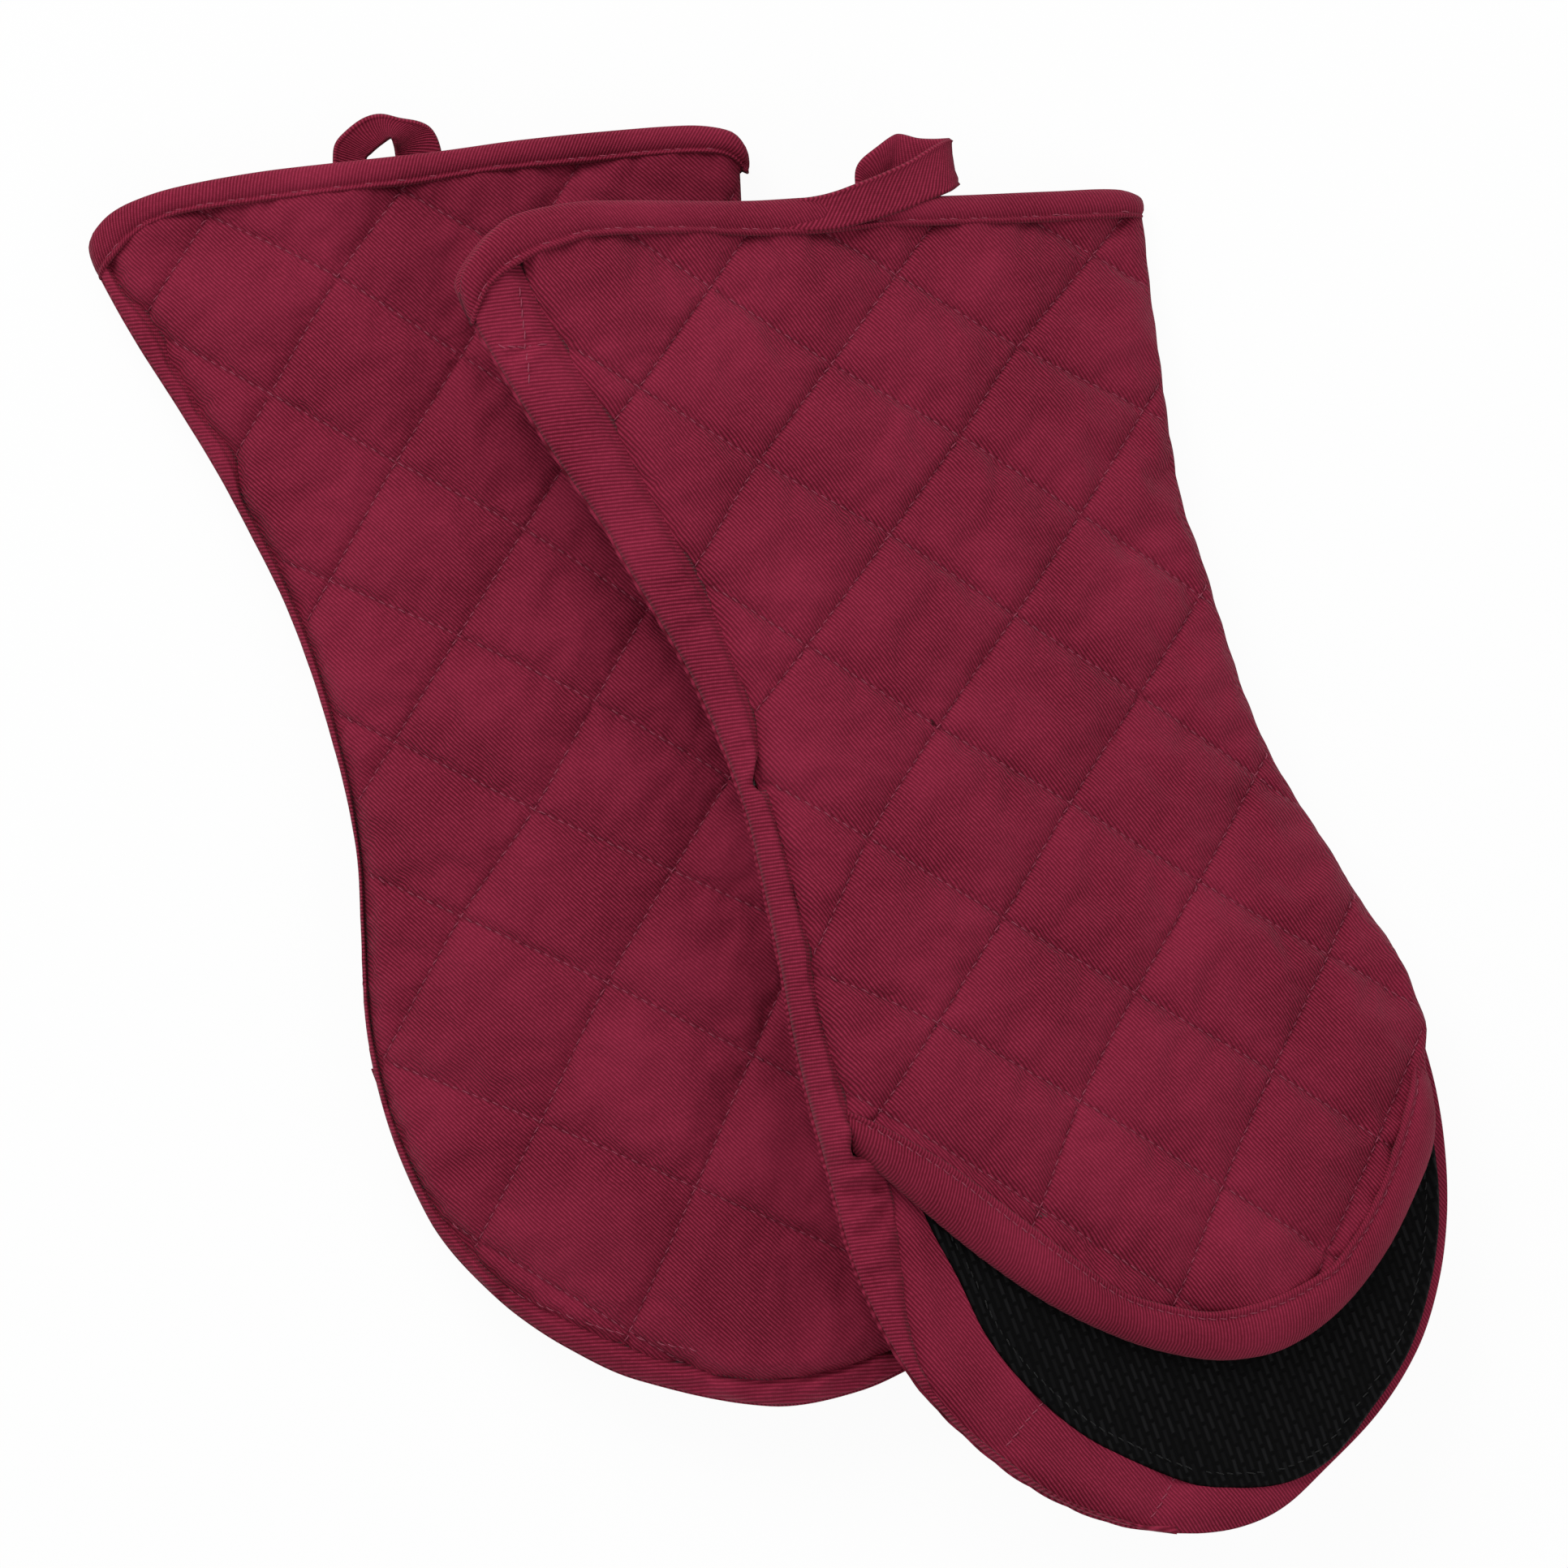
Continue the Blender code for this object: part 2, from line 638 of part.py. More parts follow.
def centre_on_origin(frames, parts):
    """Slide the pair so that the middle of its box stands over the origin."""
    points = world_points(parts)
    for axis in (0, 1):
        low = min(point[axis] for point in points)
        high = max(point[axis] for point in points)
        for frame in frames:
            frame.location[axis] -= (low + high) / 2
    bpy.context.view_layer.update()


def main():
    for old in list(bpy.data.objects):
        bpy.data.objects.remove(old)
    cuff_height = CUFF_HEIGHT + BINDING_GAP + BINDING_CLOTH
    front_pitch = math.atan2(FRONT_HAND_HEIGHT - cuff_height, HAND_CENTRE)
    back_pitch = math.atan2(BACK_HAND_HEIGHT - cuff_height, HAND_CENTRE)
    face_down = Matrix.Rotation(math.pi, 4, "Y")
    left = Matrix.Translation((*LEFT_CUFF, 0)) @ Matrix.Rotation(LEFT_TURN, 4, "Z")
    left = left @ Matrix.Rotation(-front_pitch, 4, "X") @ face_down
    right = Matrix.Translation((*RIGHT_CUFF, 0)) @ Matrix.Rotation(RIGHT_TURN, 4, "Z")
    right = right @ Matrix.Rotation(RIGHT_ROLL, 4, "Y") @ Matrix.Rotation(-back_pitch - RIGHT_DIP, 4, "X")
    left_frame, left_parts = build_mitt("left", LEFT_QUILTING, left, LEFT_SKEW_SHARE, LEFT_LOOP_PLACE,
                                        LEFT_LOOP_REACH, -1)
    right_frame, right_parts = build_mitt("right", RIGHT_QUILTING, right, RIGHT_SKEW_SHARE, RIGHT_LOOP_PLACE,
                                          RIGHT_LOOP_REACH, 1)
    stand_on_floor(left_frame, left_parts)
    press_flat(left_frame, left_parts, REST_FLAT)
    lift = settle_on(right_frame, right_parts, left_parts)
    centre_on_origin((left_frame, right_frame), left_parts + right_parts)
    print("upper mitt raised by", round(lift / MM, 2), "mm over the floor contact")


main()
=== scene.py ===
"""A pair of quilted oven mitts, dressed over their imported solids.

Each mitt has plan coordinates of its own: x across it to the right as seen from above,
s along it from the cuff to the fingertips, and h, the height over the plane of its side
seams. The upper mitt lies on its back and shows its thumb side. The lower mitt lies on
its face and shows its back. Outlines are written in the photograph's pixels, and a
sight line through a pixel gives the place on the mitt.
"""

import json
import math

import bmesh
import bpy
import numpy as np
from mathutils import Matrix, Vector, noise
from mathutils.geometry import delaunay_2d_cdt
from mathutils.kdtree import KDTree


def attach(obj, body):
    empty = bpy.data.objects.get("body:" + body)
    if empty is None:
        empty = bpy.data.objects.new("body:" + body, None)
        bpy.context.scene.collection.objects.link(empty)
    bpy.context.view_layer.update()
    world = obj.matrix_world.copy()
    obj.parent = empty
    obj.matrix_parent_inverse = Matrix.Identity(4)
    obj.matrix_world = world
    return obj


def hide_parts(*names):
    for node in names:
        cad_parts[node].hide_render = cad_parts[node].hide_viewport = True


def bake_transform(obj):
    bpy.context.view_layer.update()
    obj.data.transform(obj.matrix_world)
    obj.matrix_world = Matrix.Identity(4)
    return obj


bl_info = {
    "name": "Quilted Oven Mitts",
    "version": (1, 0, 0),
    "blender": (4, 5, 0),
    "location": "3D View > Sidebar > Mitts",
    "description": "Quilted cloth, bindings, loops and stitches for a pair of hinged oven mitts",
    "category": "Object",
}

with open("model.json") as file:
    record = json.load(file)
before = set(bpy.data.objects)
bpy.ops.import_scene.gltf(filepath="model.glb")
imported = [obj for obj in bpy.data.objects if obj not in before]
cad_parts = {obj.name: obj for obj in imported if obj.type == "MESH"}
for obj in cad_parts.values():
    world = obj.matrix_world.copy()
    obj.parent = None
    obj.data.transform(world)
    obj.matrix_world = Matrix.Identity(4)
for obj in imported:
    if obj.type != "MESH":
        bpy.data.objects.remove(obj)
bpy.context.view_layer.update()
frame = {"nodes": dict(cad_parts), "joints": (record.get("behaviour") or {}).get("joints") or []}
MM = 0.001

# What is made once and kept: the finishes by name, and the two mitts' lays
_finishes, _made = {}, {}

# The photograph's frame
PHOTO_SIZE = 1932
PIXELS_PER_METRE = 4400
PICTURE_CENTRE = Vector((0.0070, 0.0054, 0.0))
CAMERA_HEIGHT = 3.0

# Sizes that the solids share
HINGE_S = 235.1 * MM
HINGE_HEIGHT = 1.55 * MM
HAND_CENTRE = 266.7 * MM
CUFF_HEIGHT = 9 * MM
BACK_HEIGHT = 15.5 * MM
THUMB_HEIGHT = 18.5 * MM
FLAP_RIM = 6.0 * MM
FLAP_FLOOR = 3.1 * MM
EDGE_REACH = 75 * MM
CROWN_POWER = 2.4
FLAP_TIP = 333 * MM

# Upper mitt, in photograph pixels
UPPER_CUFF = (
    (566, 362), (567, 345), (578, 322), (602, 291), (629, 268), (674, 255), (728, 248), (919, 248),
    (1013, 243), (1100, 243), (1183, 241), (1300, 236), (1380, 234), (1404, 245))
UPPER_CUFF_INNER = (
    (582, 399), (596, 362), (611, 342), (634, 326), (656, 313), (687, 302), (732, 289), (852, 285),
    (928, 288), (1009, 285), (1094, 277), (1165, 275), (1240, 273), (1330, 269), (1400, 266),
    (1407, 268))
UPPER_LEFT = (
    (566, 362), (582, 399), (629, 479), (686, 569), (746, 656), (770, 698), (840, 816), (876, 891),
    (913, 987), (933, 1066), (960, 1192), (980, 1299), (1019, 1449), (1051, 1560), (1078, 1623),
    (1114, 1686), (1157, 1738), (1201, 1780), (1250, 1820), (1323, 1860), (1390, 1882), (1450, 1889))
UPPER_RIGHT = (
    (1404, 245), (1419, 380), (1430, 460), (1441, 540), (1455, 620), (1483, 700), (1507, 780),
    (1533, 860), (1569, 940), (1618, 1020), (1668, 1100), (1714, 1180), (1746, 1260), (1769, 1340),
    (1781, 1420), (1783, 1500), (1773, 1580), (1748, 1660), (1699, 1740), (1623, 1820), (1590, 1851),
    (1560, 1870), (1520, 1884), (1480, 1889), (1450, 1889))
UPPER_CREASE = (
    (625, 300), (645, 335), (696, 429), (754, 523), (821, 643), (883, 762), (920, 860), (936, 925),
    (931, 950), (954, 1001), (976, 1080), (994, 1155), (1001, 1205), (1019, 1279), (1043, 1366),
    (1059, 1420))
UPPER_PALM_EDGE = (
    (1062, 1424), (1090, 1457), (1107, 1556), (1115, 1623), (1135, 1690), (1172, 1745), (1245, 1806),
    (1313, 1851), (1400, 1880), (1450, 1886))
UPPER_FLAP_INNER = (
    (1054, 1372), (1163, 1434), (1244, 1494), (1325, 1554), (1380, 1592), (1434, 1610), (1499, 1619),
    (1569, 1602), (1623, 1575), (1650, 1554), (1694, 1483), (1721, 1413), (1742, 1332), (1749, 1286))
UPPER_FLAP_OUTER = (
    (1062, 1424), (1135, 1488), (1217, 1554), (1298, 1608), (1390, 1651), (1461, 1670), (1520, 1674),
    (1585, 1659), (1650, 1613), (1705, 1543), (1743, 1467), (1764, 1407), (1765, 1342), (1757, 1316))
UPPER_PAD = (
    (1120, 1440), (1138, 1499), (1179, 1575), (1217, 1651), (1271, 1716), (1336, 1770), (1412, 1808),
    (1472, 1830), (1520, 1834), (1585, 1827), (1640, 1797), (1690, 1735), (1735, 1665), (1762, 1580),
    (1772, 1500), (1767, 1418), (1750, 1340))

UPPER_PALM_QUILT = (
    ((1225, 1800), (1271, 1743), (1330, 1680)), ((1405, 1890), (1439, 1835), (1475, 1770)))

# Lower mitt, in photograph pixels
LOWER_CUFF = (
    (110, 310), (112, 292), (132, 267), (160, 250), (213, 232), (314, 213), (413, 201), (539, 187),
    (640, 173), (760, 161), (850, 155), (885, 158), (904, 164), (915, 174), (921, 190))
LOWER_CUFF_INNER = (
    (123, 343), (130, 327), (143, 311), (160, 292), (188, 274), (230, 260), (336, 245), (427, 234),
    (511, 225), (607, 210), (719, 199), (808, 190), (870, 187), (900, 192), (921, 211))
LOWER_LEFT = (
    (110, 310), (123, 343), (166, 420), (217, 500), (266, 580), (309, 660), (349, 740), (380, 820),
    (405, 900), (426, 980), (440, 1060), (444, 1140), (450, 1260), (465, 1340), (490, 1420),
    (527, 1500), (554, 1540), (591, 1580), (636, 1620), (697, 1660), (783, 1700), (950, 1733),
    (1060, 1714), (1150, 1672))
LOWER_CREASE = (
    (116, 300), (134, 330), (150, 358), (176, 390), (199, 425), (208, 450), (232, 484), (240, 503),
    (266, 536), (287, 573), (298, 615), (326, 668), (354, 728), (386, 810), (410, 890), (431, 975),
    (444, 1060), (449, 1140), (455, 1255), (471, 1338), (497, 1415), (535, 1490), (566, 1530),
    (605, 1572), (660, 1612), (740, 1650), (820, 1682), (950, 1701), (1050, 1684), (1135, 1645))

# Crossings of the quilting lines, in photograph pixels, by the numbers of the steep and shallow line
UPPER_QUILT = {
    (0, 0): (876, 353), (1, 0): (1025, 448), (2, 0): (1183, 537), (3, 0): (1332, 633),
    (1, -1): (1105, 338), (2, -1): (1255, 427), (3, -1): (1409, 505), (2, -2): (1347, 314),
    (0, 1): (788, 477), (1, 1): (936, 568), (2, 1): (1097, 658), (3, 1): (1251, 758),
    (4, 1): (1404, 856), (5, 1): (1547, 956), (1, 2): (853, 706), (2, 2): (995, 795),
    (3, 2): (1156, 895), (4, 2): (1319, 989), (5, 2): (1478, 1086), (6, 2): (1637, 1176),
    (3, 3): (1071, 1032), (4, 3): (1237, 1130), (5, 3): (1399, 1223), (6, 3): (1568, 1320),
    (7, 3): (1698, 1402), (3, 4): (996, 1194), (4, 4): (1156, 1260), (5, 4): (1332, 1356),
    (6, 4): (1507, 1461), (5, 5): (1282, 1488), (6, 5): (1452, 1597)}
LOWER_QUILT = {
    (0, 0): (257, 265), (1, 0): (416, 341), (2, 0): (568, 438), (1, -1): (495, 234), (1, 1): (333, 485),
    (2, 1): (488, 569), (3, 1): (646, 652), (4, 1): (798, 749), (2, 2): (406, 715), (3, 2): (565, 783),
    (4, 2): (733, 864), (5, 2): (899, 958), (3, 3): (486, 913), (4, 3): (658, 997), (5, 3): (829, 1073),
    (4, 4): (568, 1129), (5, 4): (748, 1211), (6, 4): (927, 1300), (4, 5): (472, 1306),
    (5, 5): (666, 1382), (6, 5): (857, 1463), (5, 6): (590, 1528), (6, 6): (776, 1640)}
QUILT_REACH = 400 * MM
# The hidden sides' even quilting: pitch in millimetres, angle in degrees and share of the pitch at the start
LEFT_LATTICE = ((36.4, 134, -0.22), (41.4, 47, -0.02))
RIGHT_LATTICE = ((41.4, 53, 0.58), (35.8, 140.5, 0.89))

# Relief of the quilting
CHANNEL_DEPTH = 2.1 * MM
CHANNEL_REACH = 13 * MM
CREASE_DEPTH = 0.7 * MM
CREASE_REACH = 1.2 * MM
GATHER_HEIGHT = 0.55 * MM
RELIEF_FADE = 9 * MM
GATHER_SIZE = 4.5 * MM
GATHER_START, GATHER_FULL, GATHER_END = 3 * MM, 7 * MM, 18 * MM
RIM_PULL = 0.25
EASE_HEIGHT = 1.3 * MM
EASE_SIZE = 10 * MM
EASE_STRETCH = (0.45, 1.0)
EASE_FULL = 8 * MM
EASE_REACH = 42 * MM
VALLEY_DEPTH = 3.2 * MM
VALLEY_REACH = 2.9 * MM

# Tapes, the bending strip, stitches and the twill's slants in degrees
TAPE_WIDTH = 11 * MM
FOLD_HALF = 11 * MM
SHOULDER = 10 * MM
PAD_BORDER = 15 * MM
TAPE_STEP = 1.8 * MM
TAPE_WAVE = 14 * MM
TAPE_GATHER = 2.6 * MM
ROLL_SETTLE = 34 * MM
PLAIN_ANGLE = -20
STRIP_ANGLE = -75
STRIP_PITCH_SHARE = 1.15
TAPE_ANGLE = 20
STITCH_TURN = math.radians(9)
STITCH_HALF_SHARE = 0.43

# Uneven cloth: size of the bumps in millimetres, seed, and height in millimetres
FINE_RIPPLE = (9, 1.0, 0.16)
BROAD_RIPPLE = (30, 5.0, 0.45)
PALM_RIPPLE = (12, 4.0, 0.35)
PALM_PUCKER = (5, 6.0, 0.4)

# Meshes
OUTLINE_STEP = 2.4 * MM
ROLL_STEP = 1.2 * MM
CLOTH_STEP = 2.4 * MM
LINE_STEP = 0.5 * MM
CHANNEL_STEP = 2.2 * MM
CHANNEL_OFFSET = 1.3 * MM
COVER_SKIN = 1.2 * MM
ROLL_SKIN = 0.4 * MM
FLAP_CORNER = 7 * MM
CURVE_STEPS = 12
CUFF_COUNT = 700
BETWEEN_COUNT = 120

# Cloth simulation that fills the quilting
PUFF_CAP = 1.6 * MM
PUFF_SETTINGS = {
    "quality": 4, "mass": 0.3, "tension_stiffness": 8, "compression_stiffness": 8, "shear_stiffness": 3,
    "bending_stiffness": 0.05, "use_pressure": True, "uniform_pressure_force": 3.0, "shrink_min": -0.025,
    "vertex_group_mass": "held", "pin_stiffness": 1.0}

# Painted shade and puckers along the stitch lines in the cloth, and the twill's slant in degrees on each
# mitt's covers
SEAM_SHADE = 1.0 * MM
PUCKER_REACH = 4.5 * MM
PUCKER_BUMP = 3.0
TWILL_ANGLES = {"left": -29.5, "right": -20.0}

# The cloth rolled round each mitt's left side
CREASE_SHARES = (0.0, 0.03, 0.1, 0.22, 0.4, 0.6, 0.78, 0.9, 0.97, 1.0)
ROLL_HEIGHT = 2.8 * MM
ROLL_END_HEIGHT = 8.5 * MM
ROLL_TUCK = 2.0 * MM
ROLL_LEVEL = THUMB_HEIGHT / 3
CRUMPLE_SIZE = 4.0 * MM
FOLD_SIZE = 5 * MM
FOLD_HEIGHT = 0.8 * MM
ROLL_TAPER = 16 * MM
END_INSET = 1.0 * MM
CRUMPLE_HEIGHT = 3.4 * MM
PIT_DEPTH = 5.0 * MM
PIT_REACH = 2.2 * MM

# Crumpled places on the rolled sides, with their reach in millimetres, and pits, as pixels
UPPER_CRUMPLES = (
    ((640, 425), 7), ((830, 770), 13), ((915, 975), 14), ((990, 1190), 12), ((1050, 1400), 15),
    ((1072, 1480), 17), ((1090, 1560), 9), ((1150, 1720), 12))
LOWER_CRUMPLES = (
    ((450, 1190), 16), ((480, 1380), 14), ((600, 1575), 15), ((900, 1700), 17), ((1060, 1690), 20))
UPPER_PITS = ((1058, 1417), (1088, 1462), (1092, 1492), (938, 962))

# Lines of single stitches on the rolled side and the back, as pixels
UPPER_TOPSTITCH = (((640, 353), (647, 420), (652, 474)), ((611, 428), (642, 427), (674, 424)))
LOWER_TOPSTITCH = (((575, 1545), (620, 1585), (700, 1622), (790, 1650), (860, 1664)),)

# Section of a folded tape: shares of its width from the edge, each with a height over the cloth in
# millimetres outside and a share of the depth inside
TAPE_OUTSIDE = (
    (1.05, -1.1), (1.055, 0.3), (1.01, 1.3), (0.955, 1.55), (0.905, 1.1), (0.865, 0.75), (0.81, 1.2),
    (0.66, 2.0), (0.42, 2.15), (0.18, 1.7), (0.03, 0.8), (-0.02, -0.3))
TAPE_INSIDE = (
    (-0.03, 0.35), (0.02, 0.8), (0.12, 1.0), (0.45, 1.05), (0.85, 1.0), (0.9, 0.8))
TAPE_STITCH_SHARE = 0.875
TAPE_END_SINK = 4.2 * MM

# Palms, pads and linings
PALM_ROLL = 1.3 * MM
PAD_SEAM = 4 * MM
LINING_INSET = 4 * MM
LINING_DROP = 7 * MM
PALM_DROP = 3 * MM
BAG_END = 228 * MM

# The loops: pixels of the tape's two edges with their heights in millimetres, from the sewn end on
UPPER_LOOP = (
    ((965, 247), 9.2, (965, 283), 9.6), ((1000, 244), 10.3, (1000, 283), 10.8),
    ((1030, 237), 11.6, (1030, 281), 12.0), ((1062, 225), 12.0, (1060, 274), 12.3),
    ((1092, 213), 11.8, (1088, 266), 12.2), ((1122, 199), 11.0, (1118, 256), 11.8),
    ((1146, 184), 10.0, (1148, 244), 11.0), ((1162, 175), 9.0, (1170, 235), 10.0),
    ((1170, 172), 8.0, (1179, 230), 8.8), ((1172, 172), 6.8, (1181, 229), 7.0),
    ((1169, 172), 5.6, (1178, 228), 5.4), ((1150, 173), 4.6, (1158, 226), 4.0),
    ((1130, 172), 4.0, (1130, 222), 3.0), ((1110, 167), 3.4, (1102, 214), 1.8),
    ((1100, 169), 3.0, (1092, 222), 1.0), ((1083, 181), 2.2, (1086, 232), 0.4),
    ((1062, 198), 1.4, (1082, 240), 0.2), ((1055, 214), 0.9, (1083, 248), 0.0),
    ((1057, 240), 0.4, (1086, 256), 0.0), ((1060, 262), 0.2, (1090, 268), 0.0))
LOWER_LOOP = (
    ((414, 222), 0.6, (452, 218), 0.4), ((412, 199), 1.4, (450, 196), 1.2),
    ((414, 179), 2.2, (457, 188), 1.8), ((426, 164), 3.0, (466, 180), 2.6),
    ((447, 148), 3.6, (475, 173), 3.4), ((469, 142), 3.6, (481, 169), 4.4),
    ((494, 147), 2.4, (485, 171), 4.6), ((518, 152), 0.8, (487, 178), 3.4),
    ((533, 162), -0.6, (488, 184), 2.0), ((542, 184), -1.4, (489, 194), 0.6),
    ((545, 214), -1.8, (492, 216), 0.0))
LOOP_SKIN = 1.3 * MM
LOOP_STEPS = 5

# Stage
FLOOR_SIZE = 6.0
FLOOR_DROP = 0.3 * MM
FLOOR_GLOW = 0.95
KEY_PLACE = Vector((-0.8, 1.3, 1.3))
KEY_SIZE = 1.1
KEY_POWER = 24.0
FILL_PLACE = Vector((1.2, -0.9, 1.4))
FILL_POWER = 7.5
WORLD_LIGHT = 0.50


class MittSizes(bpy.types.PropertyGroup):
    """Sizes of the cloth details that a user may change."""

    stitch_pitch: bpy.props.FloatProperty(
        name="Stitch pitch", description="Distance from one stitch to the next", default=3.0 * MM,
        subtype="DISTANCE", unit="LENGTH")
    thread_width: bpy.props.FloatProperty(
        name="Thread", description="Thickness of the sewing thread", default=0.36 * MM,
        subtype="DISTANCE", unit="LENGTH")
    wale_pitch: bpy.props.FloatProperty(
        name="Twill rib", description="Distance from one twill rib to the next", default=0.9 * MM,
        subtype="DISTANCE", unit="LENGTH")
    weave_pitch: bpy.props.FloatProperty(
        name="Grip weave", description="Size of one block of the grip pad's basket weave", default=2.9 * MM,
        subtype="DISTANCE", unit="LENGTH")
    puff_steps: bpy.props.IntProperty(
        name="Puff steps", description="Steps of the cloth simulation that fills the quilting", default=14)


def colour_property(name, description, default):
    return bpy.props.FloatVectorProperty(
        name=name, description=description, default=default, size=3, subtype="COLOR", min=0, max=1)


class MittColours(bpy.types.PropertyGroup):
    """Colours of the finishes."""

    cloth: colour_property("Cloth", "Twill between the ribs", (0.094, 0.0040, 0.0125))
    # painted highlight: the rib colour, far brighter than the cloth, stands in for light falling on the twill
    # ribs' tops
    rib: colour_property("Rib", "Top of a twill rib", (0.340, 0.0270, 0.0680))
    tape: colour_property("Tape", "Bias tape between the ribs", (0.105, 0.0044, 0.0140))
    thread: colour_property("Thread", "Sewing thread", (0.36, 0.050, 0.098))
    pad: colour_property("Grip pad", "Black grip cloth", (0.0016, 0.0016, 0.0017))
    lining: colour_property("Lining", "Plain lining cloth", (0.42, 0.40, 0.38))
    floor: colour_property("Floor", "Pale floor", (0.86, 0.86, 0.86))


def smooth(start, end, value):
    """Ease from 0 at start to 1 at end, for numbers and arrays."""
    share = np.clip((np.asarray(value, float) - start) / (end - start), 0.0, 1.0)
    return share * share * (3 - 2 * share)


def crown(share):
    """Height profile of a puffed half from its middle to its rim, as a share."""
    return np.clip(1 - np.clip(share, 0, 1) ** CROWN_POWER, 0, 1) ** (1 / CROWN_POWER)


def runs_of(points):
    """How far along a chain each of its points lies."""
    return np.concatenate([[0], np.cumsum(np.linalg.norm(np.diff(points, axis=0), axis=1))])


def along_chain(points, runs, places):
    """The points that lie at places along a chain."""
    return np.stack([np.interp(places, runs, points[:, k]) for k in range(points.shape[1])], axis=1)


def resample_count(points, count):
    """A chain's points in a number of even steps."""
    runs = runs_of(points)
    return along_chain(points, runs, np.linspace(0, runs[-1], count + 1))


def resample(points, step):
    """Points at even steps along a chain."""
    points = np.asarray(points, float)
    return resample_count(points, max(1, round(runs_of(points)[-1] / step)))


def eased_between(t, start, end, scale, start_slope, end_slope):
    """A point a share t of the way between two, on a curve with their slopes."""
    return ((2 * t**3 - 3 * t**2 + 1) * start + (t**3 - 2 * t**2 + t) * scale * start_slope
            + (3 * t**2 - 2 * t**3) * end + (t**3 - t**2) * scale * end_slope)


def curve_through(points, step):
    """A smooth curve through points, at even steps."""
    points = np.asarray(points, float)
    chords = np.linalg.norm(np.diff(points, axis=0), axis=1)
    times = runs_of(points)
    slopes = np.empty_like(points)
    slopes[1:-1] = (points[2:] - points[:-2]) / (times[2:] - times[:-2])[:, None]
    slopes[0] = (points[1] - points[0]) / chords[0]
    slopes[-1] = (points[-1] - points[-2]) / chords[-1]
    dense = []
    for k, chord in enumerate(chords):
        dense += [eased_between(t, points[k], points[k + 1], chord, slopes[k], slopes[k + 1])
                  for t in np.linspace(0, 1, CURVE_STEPS, endpoint=False)]
    dense.append(points[-1])
    return resample(dense, step)


class Near:
    """Finds the closest of many plan points."""

    def __init__(self, points):
        self.tree = KDTree(len(points))
        for k, (x, s) in enumerate(points):
            self.tree.insert((x, s, 0), k)
        self.tree.balance()

    def gaps(self, places):
        return np.array([self.tree.find((x, s, 0))[2] for x, s in places])

    def closest(self, places):
        found = [self.tree.find((x, s, 0)) for x, s in places]
        return np.array([f[1] for f in found]), np.array([f[2] for f in found])


def closed(outline):
    """An outline with its first point again at its end."""
    return np.concatenate([outline, outline[:1]])


def edge_of(chain):
    """Finds the closest point of a chain."""
    return Near(resample(chain, LINE_STEP))


def leftward(way):
    """Plan directions turned a quarter to the left."""
    return np.stack([-way[:, 1], way[:, 0]], axis=1)


def inside(places, outline):
    """Which places lie inside a closed outline."""
    x, s = places[:, 0:1], places[:, 1:2]
    ax, ay = outline[:, 0], outline[:, 1]
    bx, by = np.roll(ax, -1), np.roll(ay, -1)
    spans = (ay > s) != (by > s)
    with np.errstate(divide="ignore", invalid="ignore"):
        cross = x < (bx - ax) * (s - ay) / (by - ay) + ax
    return (np.count_nonzero(spans & cross, axis=1) % 2).astype(bool)


def noise_at(places, scale, seed):
    """Smooth noise from -1 to 1 at plan places."""
    return np.array([noise.noise(Vector((x / scale, s / scale, seed))) for x, s in places])


def bumps(places, scale, seed, high):
    """Smooth bumps at plan places, with their size and height in millimetres."""
    return noise_at(places, scale * MM, seed) * high * MM


